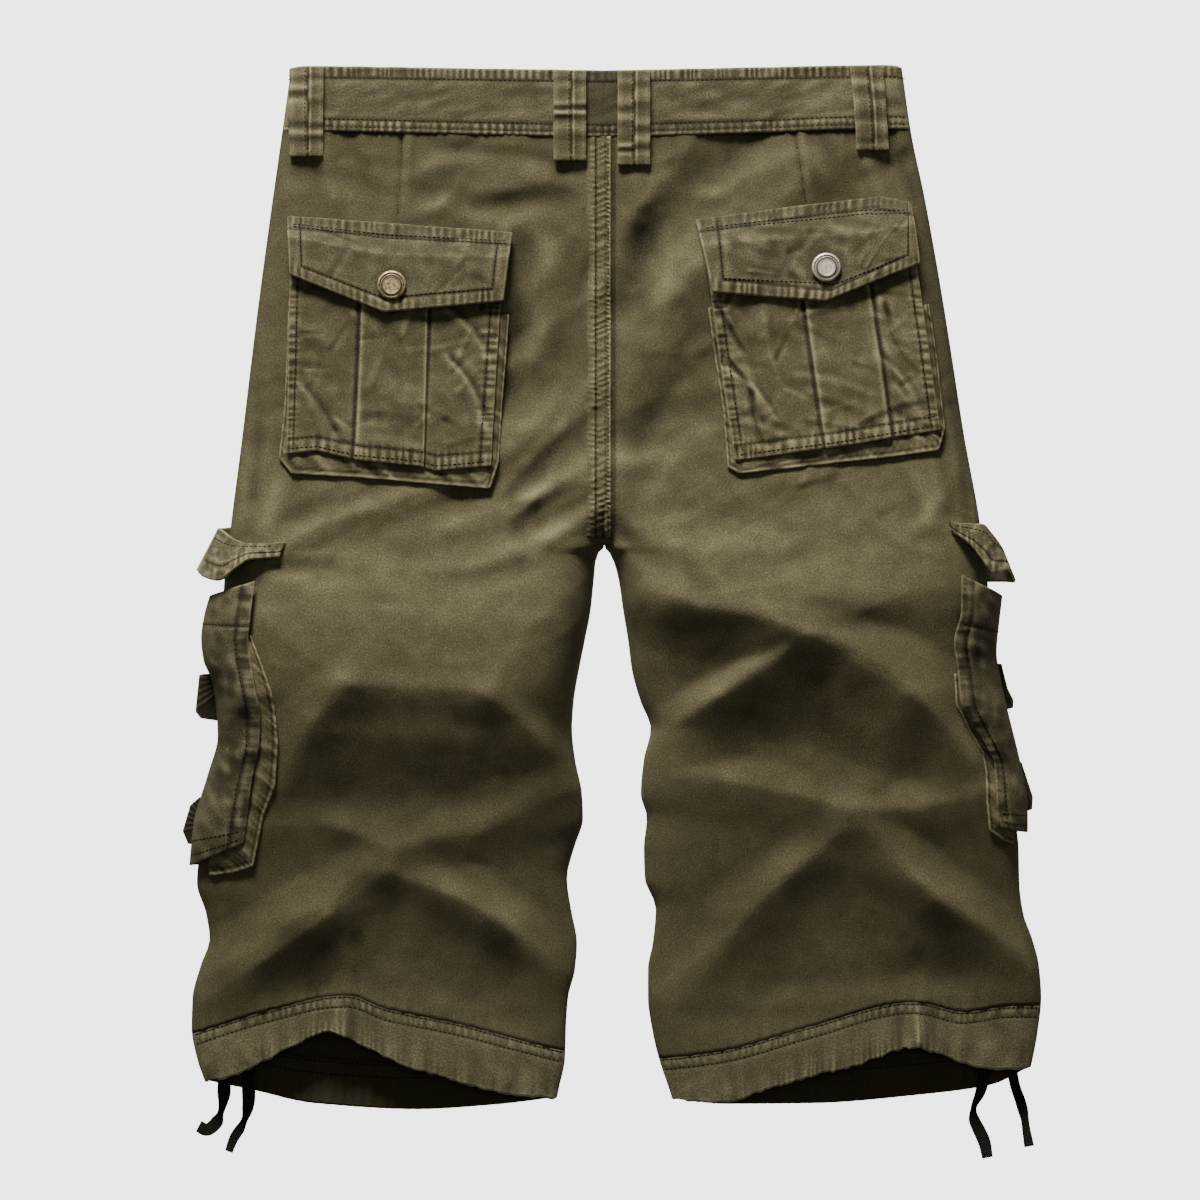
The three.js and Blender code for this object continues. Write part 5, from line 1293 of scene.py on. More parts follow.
def hem_back(side):
    rows, *columns = GRIDS["hem_back"]
    shares = even(rows)
    x, y = panel_grid(side, panel_columns(*columns), shares, HEM_SEAM, -SEAM_GAP / 2, HEM_EDGE, 0,
                      side_round, INSEAM_ROUND)
    scallops = 1.2 * lumps(x, 0 * x, 3.4, 37) * shares[:, None] ** 8
    points = places(x, y + scallops, hem_surface(side, x, y))
    tone = 0.6 * near(1 - shares[:, None], 0.03) + 0 * x
    cloth_piece(f"hem_cloth_back_{side}", f"hem_back_{side}", points, DOUBLE_CLOTH, (0.5, 0.5),
                DOUBLE_TWILL,
                panel_normals(side, points, 1), tone, (6, 0.6))


def hem_front_surface(side, x, y):
    """Outer face of the front hem, which lies on the surface."""
    inner = inside_edges(side, x, y, 10)
    edge = line_y(FRONT_HEM_EDGE, side, x, y)
    down = clamp01(1 - (y - edge) / FRONT_HEM_DEPTH)
    folds = 0.5 * (1 + np.sin(2 * math.pi * (x / 7 + 0.8 * lumps(x, 0 * x, 16, 41)))) * down
    return front_height(side, x, y) + folds * inner


def hem_front(side):
    rows, *columns = GRIDS["hem_front"]
    x, y = panel_grid(side, panel_columns(*columns), even(rows), FRONT_HEM_EDGE, FRONT_HEM_DEPTH - SEAM_GAP,
                      FRONT_HEM_EDGE, 0, front_round, FRONT_EDGE_ROUND)
    points = places(x, y, hem_front_surface(side, x, y))
    cloth_piece(f"hem_cloth_front_{side}", f"hem_front_{side}", points, DOUBLE_CLOTH, (0.5, 0.5),
                INSIDE_TWILL,
                panel_normals(side, points, -1))


# Waistband
def band_line(table, side, from_centre):
    return curve(table[side], 1 - from_centre)


def band_height(side, x, y):
    edge = np.abs(x - outer_x(side, y))
    return back_height(side, x, y) + BAND_PROUD * round_over(edge, side_round(y))


def band_surface(side, x, y):
    """Back of the waistband: puckered strips outside its stitch rows, softly uneven between."""
    top = line_y(BAND_TOP, side, x, y)
    bottom = line_y(BAND_SEAM, side, x, y)
    edge = clamp01(np.abs(x - outer_x(side, y)) / 6)
    top_strip = smooth((y - top + BAND_ROWS["top"]) / 1.5)
    bottom_strip = smooth((bottom + BAND_ROWS["upper"] - y) / 1.5)
    detail = puckers("band_top", x, 0 * x) * top_strip + puckers("band_bottom", x, 0 * x) * bottom_strip
    detail = detail + 0.35 * lumps(x + y, y * 2, 24, 55) + 0.3 * lumps(x - y, y * 1.6, 11, 57)
    ridge = 0.5 * near(y - bottom - 0.8, 0.9)
    for height in (top - BAND_ROWS["top"], bottom + BAND_ROWS["lower"], bottom + BAND_ROWS["upper"]):
        ridge = ridge - 0.35 * near(y - height, 0.9)
    return band_height(side, x, y) + (detail + ridge) * edge


def front_band_height(side, x, y):
    """The left end laps under the right one, and both clear the waist button."""
    from_button = np.hypot(x - WAIST_BUTTON["x"], y - WAIST_BUTTON["y"])
    clear = BUTTON_LIFT["height"] * (1 - smooth((from_button - BUTTON_LIFT["radius"]) / BUTTON_LIFT["fade"]))
    if side == "left":
        return clear
    lap = 1 - smooth((x - CROTCH[0] - BAND_LAP["reach"] - 2) / BAND_LAP["fade"])
    return clear + (DOUBLE_CLOTH + LAP_GAP) * lap


def waistband(side):
    step = INWARD[side]
    lap_end = CROTCH[0] + step * (BAND_LAP["reach"] if side == "left" else SEAM_GAP)
    centre = CROTCH[0] - step * SEAM_GAP / 2
    band_rows, middle_count, turn_count, under_count, front_count = GRIDS["waistband"]
    middle = np.linspace(1, 0, middle_count)
    turn = np.linspace(math.pi / 2, 0, turn_count)[1:]
    under = np.linspace(0, math.pi / 2, under_count)[1:]
    rows = []
    for share in even(band_rows):
        def at(across):
            across = np.asarray(across, float)
            end_a = mix(band_line(BAND_SEAM, side, 1 - across) + SEAM_GAP / 2,
                        band_line(BAND_TOP, side, 1 - across), share)
            end_b = mix(band_line(BAND_SEAM, OTHER[side], across - 1) + SEAM_GAP / 2,
                        band_line(BAND_TOP, OTHER[side], across - 1), share)
            return np.where(across > 1, end_b, end_a)

        y = at(middle)
        x = mix(outer_x(side, y) + step * side_round(y), centre, middle)
        back = places(x, y, band_surface(side, x, y))
        y = at(0 * turn)
        x = outer_x(side, y) + step * side_round(y) * (1 - np.cos(turn))
        corner = places(x, y, band_surface(side, x, y))
        y = at(0 * under) - FRONT_BAND_DROP * share * (1 - np.cos(under))
        x = outer_x(side, y) + step * FRONT_EDGE_ROUND * (1 - np.cos(under))
        below = places(x, y, SIDE_SEAM_HEIGHT * (1 - np.sin(under)))
        edge = float(outer_x(side, at(0)))
        x = np.linspace(edge + step * FRONT_EDGE_ROUND, lap_end, front_count)[1:]
        y = at((x - edge) / (CROTCH[0] - edge)) - FRONT_BAND_DROP * share
        front = places(x, y, front_band_height(side, x, y))
        rows.append(np.concatenate((back, corner, below, front)))
    points = np.array(rows)
    between_loops = smooth((21 - np.abs(points[..., 0] - CROTCH[0] - 1)) / 3) * (points[..., 2] > 8)
    tone = -0.42 * between_loops
    tone[:2] += 0.55
    tone[-1:] += 0.2
    cloth_piece(f"waistband_cloth_{side}", f"waistband_{side}", points, DOUBLE_CLOTH, (0.5, 0.2),
                DOUBLE_TWILL,
                tone=tone, wear_and_shade=(7, 0.4))


# Pieces sewn to the back: each gives its outer surface as points over two shares
def pocket_wear(side):
    """Listed creases of a back pocket with fine seeded ones between them."""
    random = np.random.default_rng(61 + len(side))
    (x0, y1), (x1, _) = BACK_POCKETS[side]["face_top"]
    y0 = BACK_POCKETS[side]["face_bottom"][0][1]
    rows = list(POCKET_CREASES[side])
    for _ in range(46):
        x, y = random.uniform(x0, x1 + 10), random.uniform(y0, y1 + 14)
        angle, length = math.radians(random.uniform(-40, 70)), random.uniform(8, 30)
        lift = random.uniform(0.2, 0.5) * random.choice((-1, 1))
        end_x, end_y = x + length * math.cos(angle), y + length * math.sin(angle)
        up, down = random.uniform(2, 5, 2)
        rows.append((x, y, end_x, end_y, 0, lift, lift * 0.3, up, down, 1.3))
    return rows


POCKET_FOLDS = {side: pocket_wear(side) for side in SIDES}


def rim_tone(u, v, size):
    """Wear along the sides and the lower edge of a piece, over its whole grid."""
    edge = np.minimum(np.minimum(u, 1 - u)[None, :] * size[0], (1 - v)[:, None] * size[1])
    return 0.75 * near(edge, 0.8)


def back_pocket_face(side):
    pocket = BACK_POCKETS[side]

    def surface(u, v):
        u, v = same_shape(u, v)
        top_x, top_y = path_at(pocket["face_top"], u)
        bottom_x, bottom_y = path_at(pocket["face_bottom"], u)
        x, y = mix(top_x, bottom_x, v), mix(top_y, bottom_y, v)
        left, right = (mix(at_top, at_bottom, v) for at_top, at_bottom in pocket["pleats"])
        raised = smooth((u - left) / 0.012 + 0.5) * smooth((right - u) / 0.012 + 0.5)
        beside = near(u - left + 0.012, 0.01) + near(u - right - 0.012, 0.01)
        rise = PLEAT_RAISE * 1.4 * raised - 0.35 * beside
        crown = 0.8 * arch(u) * arch(v)
        near_side = np.minimum(u, 1 - u) * FACE_SIZE[0]
        near_bottom = (1 - v) * FACE_SIZE[1]
        detail = puckers("face_side", y, near_side - 2) + puckers("face_bottom", x, near_bottom - 3)
        detail = detail + add_folds(POCKET_FOLDS[side], x, y) + grain(x, y, 65 + len(side))
        detail = detail + 1.5 * lumps(x - 0.4 * y, y + 0.3 * x, 34, 71 + len(side)) * arch(v)
        ditch = 0.4 * near(near_side - POCKET_ROWS["side"], 0.9)
        ditch = ditch + 0.45 * near(near_bottom - POCKET_ROWS["bottom"], 1.0)
        fade = clamp01(near_side / 2) * clamp01(near_bottom / 2)
        z = back_height(side, x, y) + POCKET_FACE_LIFT + rise + crown + (detail - ditch) * mix(0.5, 1, fade)
        return places(x, y, z)

    v, u = (even(count) for count in GRIDS["face"])
    points = surface(u[None, :], v[:, None])
    # Painted shadow of the flap over the top of the face; the rims are paler, as worn.
    flap_shadow = smooth((0.42 - v[:, None]) / 0.2)
    tone = rim_tone(u, v, FACE_SIZE) - 0.22 * flap_shadow - POCKET_SHADE[side]
    cloth_piece(f"back_pocket_cloth_{side}", f"back_pocket_{side}", points, POCKET_CLOTH, (0.5, 0.5),
                TWILL_CLOTH, tone=tone, wear_and_shade=(8, 0.4))
    return surface


def back_pocket_flap(side):
    pocket = BACK_POCKETS[side]
    mid = pocket["flap_point"]
    snap_x, snap_y = pocket["snap"]

    def surface(u, v):
        u, v = same_shape(u, v)
        top_x, top_y = path_at(pocket["flap_top"], u)
        bottom_share = np.where(u < mid, 0.5 * u / mid, 0.5 + 0.5 * (u - mid) / (1 - mid))
        bottom_x, bottom_y = path_at(pocket["flap_bottom"], bottom_share)
        x, y = mix(top_x, bottom_x, v), mix(top_y, bottom_y, v)
        depth = np.hypot(top_x - bottom_x, top_y - bottom_y)
        lift = DOUBLE_CLOTH + REST_GAP + FLAP_LIFT * smooth(0.12 + 0.76 * clamp01(v / FLAP_RISE_ENDS)) / 0.96
        inside = np.minimum((1 - v) * depth, np.minimum(u, 1 - u) * FLAP_SIZE[0])
        detail = puckers("flap_edge", x, (1 - v) * depth - 3) + puckers("flap_top", x, v * depth - 3)
        detail = detail + add_folds(POCKET_FOLDS[side], x, y) + 1.2 * grain(x, y, 75 + len(side))
        ditch = 0.45 * near(inside - POCKET_ROWS["flap"], 1.0)
        ditch = ditch + 0.4 * near(v * depth - POCKET_ROWS["flap_top"], 1.0)
        dimple = 0.9 * np.exp(-((np.hypot(x - snap_x, y - snap_y) / 13) ** 4))
        z = back_height(side, x, y) + lift + detail - ditch - dimple
        return places(x, y, z)

    rows, half = GRIDS["flap"]
    u = np.unique(np.concatenate((np.linspace(0, mid, half), np.linspace(mid, 1, half))))
    v = even(rows)
    points = surface(u[None, :], v[:, None])
    # Painted shade on the flap's sloping upper part; the rims are paler, as worn.
    slope_shade = near(v[:, None] - 0.2, 0.16)
    tone = rim_tone(u, v, FLAP_SIZE) - 0.28 * slope_shade
    cloth_piece(f"back_flap_cloth_{side}", f"back_pocket_flap_{side}", points, DOUBLE_CLOTH, (0.5, 0.5),
                DOUBLE_TWILL, tone=tone, wear_and_shade=(7, 0.4))
    return surface


def gusset(name, node, side, rows, face_lift):
    clear = POCKET_CLOTH + GUSSET_GAP
    rows = np.array(rows, float)
    along_step, across = GRIDS["gusset"]
    along = even(along_step * (len(rows) - 1))
    share = even(across)

    def surface(u, v):
        u, v = same_shape(u, v)
        face_x, face_y = path_at(rows[:, :2], u)
        base_x, base_y = path_at(rows[:, 2:], u)
        x, y = mix(face_x, base_x, v), mix(face_y, base_y, v)
        rise = (face_lift - POCKET_CLOTH - REST_GAP - clear) * (1 - smooth((v - 0.35) / 0.5))
        detail = 0.45 * lumps(x + y, y, 7, 81) + puckers("gusset", x + y, (1 - v) * 9)
        detail = detail - 0.35 * near(v - 0.84, 0.06)
        z = back_height(side, x, y) + clear + rise + detail
        return places(x, y, z)

    points = surface(along[:, None], share[None, :])
    # Pale along the base edge, and painted shade along the edge that lies under the pocket's face.
    tone = 0.6 * near(1 - share, 0.08) - 0.5 * near(share, 0.22)
    tone = tone[None, :] + np.zeros(points.shape[:2])
    cloth_piece(name, node, points, POCKET_CLOTH, (0.4, 0.9), TWILL_CLOTH,
                tone=tone, wear_and_shade=(5, 0.4))


# Cargo pockets
def wrap_under(side, x_out, y):
    """Underside of a piece that wraps the side: round the edge, then flat under the front."""
    step = INWARD[side]
    round_count, flat_count = GRIDS["under"]
    angle = np.linspace(0, math.pi / 2, round_count)[1:]
    round_x = x_out + step * UNDER_ROUND * (1 - np.cos(angle))
    round_z = SIDE_SEAM_HEIGHT * (1 - np.sin(angle))
    flat_x = x_out + step * np.linspace(UNDER_ROUND, CARGO_FRONT_REACH, flat_count)[1:]
    x = np.concatenate((round_x, flat_x))
    z = np.concatenate((round_z, 0 * flat_x))
    return places(x, y + 0 * x, z)


def wrapped(side, surface, grid):
    """Grid of a piece that goes on from the back round the side to the front."""
    v, u = (even(count) for count in grid)
    lines = surface(u[None, :], v[:, None])
    return np.array([np.concatenate((line, wrap_under(side, line[-1][0], line[-1][1]))) for line in lines])


def row_curve(rows, at, value):
    return curve([(i, *row) for i, row in enumerate(rows)], at * (len(rows) - 1), value + 1)


def cargo_face(side):
    rows = CARGO_POCKETS[side]["face"]

    def surface(u, v):
        """u runs from the rear edge (0) to the side (1), v from the mouth down."""
        u, v = same_shape(u, v)
        x_in, y_in = row_curve(rows, v, 0), row_curve(rows, v, 1)
        x_out, y_out = row_curve(rows, v, 2), row_curve(rows, v, 3)
        span = np.abs(x_out - x_in)
        radius = span + CARGO_ROUND_SPARE
        first = np.arccos(1 - span / radius)
        angle = first * (1 - u)
        share = radius * (1 - np.cos(angle)) / span
        x, y = mix(x_out, x_in, share), mix(y_out, y_in, share)
        top = back_height(side, x_in, y_in) + CARGO_FACE_LIFT
        arc = SIDE_SEAM_HEIGHT + (top - SIDE_SEAM_HEIGHT) * np.sin(angle) / np.sin(first)
        inside = (x - outer_x(side, y)) * INWARD[side] > 0
        least = np.where(inside, back_height(side, x, y) + POCKET_CLOTH + 2 * REST_GAP, 0)
        fade = clamp01((1 - u) / 0.15)
        from_edge = u * CARGO_WIDTH
        detail = puckers("cargo_edge", y, from_edge - 3) + 1.3 * lumps(x + 0.8 * y, y - 1.4 * x, 22, 93)
        detail = detail + 0.7 * lumps(x * 1.5 + y, y - x, 11, 95)
        ditch = 0.5 * near(from_edge - 6, 1.2) + 0.5 * near(v - 0.15, 0.012)
        z = np.maximum(arc, least) + (detail - ditch) * fade
        return places(x, y, z)

    points = wrapped(side, surface, GRIDS["cargo"])
    tone = np.zeros(points.shape[:2])
    tone[:, :1] += 0.7
    tone[-1:] += 0.6
    tone[:1] += 0.5
    cloth_piece(f"cargo_pocket_cloth_{side}", f"cargo_pocket_{side}", points, POCKET_CLOTH, (0.5, 0.1),
                SHADED_CARGO_TWILL,
                tone=tone, wear_and_shade=(8, 0.5))
    return surface


def cargo_flap(side):
    stations = CARGO_POCKETS[side]["flap"]

    def surface(u, v):
        """u runs from the tip on the back (0) to the side (1), v from the sewn edge down."""
        u, v = same_shape(u, v)
        x = mix(row_curve(stations, u, 0), row_curve(stations, u, 2), v)
        y = mix(row_curve(stations, u, 1), row_curve(stations, u, 3), v)
        x_tip = mix(stations[0][0], stations[0][2], v)
        y_tip = mix(stations[0][1], stations[0][3], v)
        x_out = mix(stations[-1][0], stations[-1][2], v)
        start = back_height(side, x_tip, y_tip) + DOUBLE_CLOTH + REST_GAP
        turn = round_over(np.abs(x - x_out), np.abs(x_tip - x_out))
        flare = CARGO_FLAP_FLARE * v * arch(np.abs(x - x_tip) / np.abs(x_out - x_tip))
        fade = clamp01((1 - u) / 0.12)
        detail = puckers("cargo_flap", x, (1 - v) * 20 - 3) + 1.0 * lumps(x, y, 12, 103)
        detail = detail + 0.5 * lumps(x + y, y - x, 5, 105)
        ditch = 0.6 * near(1 - v - 0.3, 0.06)
        z = SIDE_SEAM_HEIGHT + (start - SIDE_SEAM_HEIGHT) * turn + flare + (detail - ditch) * fade
        return places(x, y, z)

    points = wrapped(side, surface, GRIDS["cargo_flap"])
    tone = np.zeros(points.shape[:2])
    tone[-1:] += 0.8
    tone[:1] += 0.5
    cloth_piece(f"cargo_flap_cloth_{side}", f"cargo_flap_{side}", points, DOUBLE_CLOTH, (0.5, 0.2),
                DOUBLE_TWILL, tone=tone, wear_and_shade=(6, 0.4))
    return surface


def cargo_tab(side, index):
    """Strap end folded double, bunched at the pocket's outer edge."""
    outer, inner = CARGO_POCKETS[side]["tabs"][index]
    rows, steps = GRIDS["tab"]
    v = even(rows)[:, None]
    out_x, out_y = path_at(outer, v)
    in_x, in_y = path_at(inner, v)
    in_x = in_x + INWARD[side] * TAB["tuck"]
    bend = TAB["thickness"] / 2
    angle = np.linspace(math.pi / 2, -math.pi / 2, steps)[None, :]
    share = even(steps)[None, :-1]
    bunch = 0.35 * np.sin(2 * math.pi * (out_y / 6 + 0.3 * out_x)) * np.sin(math.pi * v)
    reach = INWARD[side] * bend
    turn_x = out_x + reach * (1 - np.cos(angle))
    turn_z = TAB["bottom"] + bend * (1 + np.sin(angle)) + 0 * turn_x
    level_x = mix(in_x, out_x + reach, share)
    level_y = mix(in_y, out_y, share)
    top_z = TAB["bottom"] + 2 * bend + 0 * level_x
    x = np.concatenate((level_x, turn_x, level_x[:, ::-1]), axis=1)
    y = np.concatenate((level_y, out_y + 0 * turn_x, level_y[:, ::-1]), axis=1)
    z = np.concatenate((top_z, turn_z, 0 * level_x + TAB["bottom"]), axis=1) + bunch
    points = places(x, y, z)
    name = ("upper", "lower")[index]
    cloth_piece(f"cargo_strap_{name}_{side}", f"cargo_tab_{name}_{side}", points, TAB["cloth"],
                (0.5, 0.1), TAB_TWILL, wear_and_shade=(3, 0.3))


# Belt loops and the centre seam
def belt_loop(name, side, x_top, y_top, x_bottom, y_bottom):
    def surface(u, v):
        u, v = same_shape(u, v)
        x = mix(x_top, x_bottom, v) + (u - 0.5) * LOOP["width"]
        y = mix(y_top, y_bottom, v) + 0 * u
        eps = 0.8
        slope_x = (band_height(side, x + eps, y) - band_height(side, x - eps, y)) / (2 * eps)
        slope_y = (band_height(side, x, y + eps) - band_height(side, x, y - eps)) / (2 * eps)
        normal = np.stack((-slope_x, -slope_y, np.ones_like(x)), axis=-1)
        normal /= np.linalg.norm(normal, axis=-1, keepdims=True)
        fold = LOOP_ROWS[name] + 0.07
        halves = np.where(u < fold, 3, 11)
        waves = 0.85 * np.sin(2 * math.pi * (v * 4.4 + 0.5 * lumps(y, halves, 13, 111 + len(name))))
        waves = waves + 0.5 * lumps(x * 0.5, y + 20 * halves, 6, 113)
        groove = 0.5 * near(u - fold, 0.04) - 0.35 * near(u - fold - 0.07, 0.04)
        side_edges = 0.5 * near(np.minimum(u, 1 - u), 0.05)
        stand = LOOP["stand"] * arch(v) + REST_GAP + LOOP["thickness"]
        stand = stand + waves * smooth(v * 6) * smooth((1 - v) * 5) * 0.6 + 0.35 - groove - side_edges
        base = places(x, y, band_height(side, x, y))
        return base + normal * stand[..., None]

    v, u = (even(count) for count in GRIDS["loop"])
    points = surface(u[None, :], v[:, None])
    tone = np.zeros(points.shape[:2])
    tone[:, :1] += 0.6
    tone[:, -1:] += 0.6
    tone[-4:] += 0.2
    cloth_piece(f"loop_{name}", f"belt_loop_{name}", points, LOOP["thickness"], (0.5, 0.5), DOUBLE_TWILL,
                tone=tone, wear_and_shade=(5, 0.35))
    return surface


def centre_height(x, y):
    left = back_height("left", np.minimum(x, CROTCH[0] - 0.2), y)
    right = back_height("right", np.maximum(x, CROTCH[0] + 0.2), y)
    return np.where(x < CROTCH[0], left, right)


def centre_seam():
    """Felled seam down the seat: a folded strip, gathered by its two rows of stitches."""
    strip = CENTRE_STRIP
    left_row, right_row = strip["rows"]

    def surface(x, y):
        x, y = same_shape(x, y)
        wander = 1.5 * lumps(y, 0 * y, 26, 125)
        rise = mix(-1.0, 1.0, smooth((x - strip["left"] - wander) / 8.5))
        waves = puckers("fell_edge", y + 0.3 * x, x - right_row)
        waves = waves + puckers("fell_middle", y - 0.4 * x, x - (left_row + right_row) / 2)
        waves = waves + puckers("fell_left", y + 0.2 * x, x - left_row + 1)
        ridge = 0.5 * near(x - right_row - 0.6, 1.2)
        ditch = 0.35 * near(x - left_row, 0.8) + 0.3 * near(x - right_row + 1.4, 0.7)
        z = centre_height(x, y) + creases_at(x, y) + rise + waves + ridge - ditch
        return places(x, y, z)

    rows, columns = GRIDS["centre"]
    x = np.linspace(strip["left"], strip["right"], columns)
    y = np.linspace(strip["top"], strip["bottom"], rows)
    points = surface(x[None, :], y[:, None])
    edge = near(x - right_row - 0.6, 1.3)
    # Paler along the ridge by the right row, as worn, and painted shade in the ditch by the left row.
    tone = 0.35 * edge[None, :] * (0.6 + 0.5 * lumps(y, 0 * y, 5, 127)[:, None])
    tone = tone - 0.25 * near(x - left_row, 0.9)[None, :]
    cloth_piece("centre_seam_fell", None, points, strip["thickness"], (0.5, 0.5), TWILL_CLOTH,
                tone=tone, wear_and_shade=(4, 0.5))
    return surface


def fly_shield():
    rows, columns = GRIDS["fly"]
    x = np.linspace(FLY["left"], FLY["right"], columns)
    y = np.linspace(FLY["top"], FLY["bottom"], rows)
    x, y = np.meshgrid(x, y)
    z = FRONT_CLOTH + REST_GAP + FRONT_CLOTH + 0.5 + 0.3 * lumps(x, y, 14, 131)
    points = places(x, y, z)
    cloth_piece("fly_shield_cloth", "fly_shield", points, FRONT_CLOTH, (0.5, 0.5), INSIDE_TWILL)


# Drawcords: flat ribbon ends
def route_points(route, count):
    """Smooth path through a route's points, at even lengths."""
    route = np.array(route, float)
    steps = np.arange(len(route), dtype=float)
    fine = np.linspace(0, len(route) - 1, 600)
    padded = np.vstack((2 * route[0] - route[1], route, 2 * route[-1] - route[-2]))
    i = np.clip(fine.astype(int), 0, len(route) - 2)
    s = (fine - steps[i])[:, None]
    p0, p1, p2, p3 = padded[i], padded[i + 1], padded[i + 2], padded[i + 3]
    path = 0.5 * (2 * p1 + (p2 - p0) * s + (2 * p0 - 5 * p1 + 4 * p2 - p3) * s**2
                  + (3 * p1 - p0 - 3 * p2 + p3) * s**3)
    arc = np.concatenate(([0], np.cumsum(np.linalg.norm(np.diff(path, axis=0), axis=1))))
    at = np.linspace(0, arc[-1], count)
    return np.stack([np.interp(at, arc, path[:, k]) for k in range(3)], axis=1), arc[-1]


def drawcord(name, route):
    """Ribbon swept along its route, with a woven edge and closed ends."""
    steps, sides = GRIDS["cord"]
    path, length = route_points(route, steps)
    tangent = np.gradient(path, axis=0)
    tangent /= np.linalg.norm(tangent, axis=1, keepdims=True)
    up = np.array((0.0, 0.0, 1.0))
    beside = np.cross(tangent, up)
    beside /= np.linalg.norm(beside, axis=1, keepdims=True)
    lift = np.cross(beside, tangent)
    angle = np.linspace(0, 2 * math.pi, sides, endpoint=False)
    wide = np.sign(np.cos(angle)) * np.abs(np.cos(angle)) ** 0.5 * CORD["width"] / 2
    thick = np.sign(np.sin(angle)) * np.abs(np.sin(angle)) ** 0.6 * CORD["thickness"] / 2
    share = even(len(path))
    narrow = curve(CORD_WIDTHS[name], share)
    rings = (
        path[:, None, :]
        + beside[:, None, :] * (wide[None, :, None] * narrow[:, None, None])
        + lift[:, None, :] * thick[None, :, None]
    )
    vertices = np.concatenate((rings.reshape(-1, 3), path[:1], path[-1:]))
    faces = []
    count = len(angle)
    for i in range(len(path) - 1):
        for j in range(count):
            k = (j + 1) % count
            faces.append((i * count + j, i * count + k, (i + 1) * count + k, (i + 1) * count + j))
    last = (len(path) - 1) * count
    for j in range(count):
        k = (j + 1) % count
        faces.append((len(vertices) - 2, k, j))
        faces.append((len(vertices) - 1, last + j, last + k))
    ring_map = np.stack((np.tile(angle * 2, len(path)), np.repeat(share * length, count)), axis=1)
    uv = np.concatenate((ring_map, [[0, 0], [0, length]]))
    tone = np.tile(0.35 * np.abs(np.cos(angle)) ** 6, len(path))
    ribbon = mesh_object(f"ribbon_{name}", vertices, faces, uv, np.concatenate((tone, [0, 0])))
    dress(ribbon, RIBBON, [name])


# Snaps, modelled one by one
def select_faces(mesh, keep):
    for face in mesh.faces:
        face.select_set(bool(keep(face)))


def snap_cap(side):
    """Turned metal cap: rolled rim, groove and a slightly domed centre."""
    bpy.ops.object.select_all(action="DESELECT")
    radius = SNAP["radius"] * MM
    bpy.ops.mesh.primitive_cylinder_add(vertices=48, radius=radius, depth=1.0 * MM, end_fill_type="NGON",
                                        location=(0, 0, 0.5 * MM))
    cap = bpy.context.active_object
    cap.name = f"snap_cap_{side}"
    bpy.ops.object.mode_set(mode="EDIT")
    bpy.ops.mesh.select_all(action="DESELECT")
    shape = bmesh.from_edit_mesh(cap.data)
    select_faces(shape, lambda face: face.normal.z > 0.9)
    bmesh.update_edit_mesh(cap.data)
    for thickness, depth in CAP_PROFILE:
        bpy.ops.mesh.inset(thickness=thickness * MM, depth=depth * MM)
    bpy.ops.object.mode_set(mode="OBJECT")
    bevel = cap.modifiers.new("soft_edges", "BEVEL")
    bevel.width = 0.12 * MM
    bevel.segments = 2
    bevel.limit_method = "ANGLE"
    bevel.angle_limit = math.radians(25)
    bpy.ops.object.modifier_apply(modifier=bevel.name)
    bpy.ops.object.shade_smooth_by_angle(angle=math.radians(35))
    corners = np.array([vertex.co for vertex in cap.data.vertices]) / MM
    from_middle = np.hypot(corners[:, 0], corners[:, 1])
    groove = near(from_middle - SNAP["groove"], 0.35) + near(from_middle - SNAP["step"], 0.4)
    shade = np.clip(1 - 1.6 * groove - 0.9 * (corners[:, 2] < 0.6), -1, 1)
    attribute = cap.data.attributes.new("tone", "FLOAT", "POINT")
    attribute.data.foreach_set("value", shade)
    x, y = BACK_POCKETS[side]["snap"]
    reach = SNAP["radius"]

    def surface(px, py):
        return float(back_height(side, np.float64(px), np.float64(py))) + DOUBLE_CLOTH + REST_GAP + FLAP_LIFT

    slope_x = (surface(x + reach, y) - surface(x - reach, y)) / (2 * reach)
    slope_y = (surface(x, y + reach) - surface(x, y - reach)) / (2 * reach)
    up = Vector((-slope_x, -slope_y, 1)).normalized()
    place = Vector((x, y, surface(x, y))) + up * (REST_GAP - 0.6)
    turn = Vector((0, 0, 1)).rotation_difference(up).to_matrix().to_4x4()
    cap.data.transform(Matrix.Translation(place * MM) @ turn)
    dress(cap, SNAP_METAL[side], [f"back_pocket_snap_{side}"])


# Stitches: one is modelled and copied along each seam
def stitch_model():
    bpy.ops.object.select_all(action="DESELECT")
    bpy.ops.mesh.primitive_uv_sphere_add(segments=6, ring_count=4, radius=0.5)
    model = bpy.context.active_object
    bpy.ops.object.mode_set(mode="EDIT")
    bpy.ops.mesh.select_all(action="SELECT")
    bpy.ops.transform.rotate(value=math.radians(90), orient_axis="Y", center_override=(0, 0, 0))
    size = (STITCH["length"], STITCH["width"], STITCH["height"])
    bpy.ops.transform.resize(value=size, center_override=(0, 0, 0))
    bpy.ops.object.mode_set(mode="OBJECT")
    vertices = np.array([vertex.co for vertex in model.data.vertices])
    faces = [list(face.vertices) for face in model.data.polygons]
    mesh = model.data
    bpy.data.objects.remove(model)
    bpy.data.meshes.remove(mesh)
    return vertices, faces


STITCH_POINTS, STITCH_FACES = stitch_model()


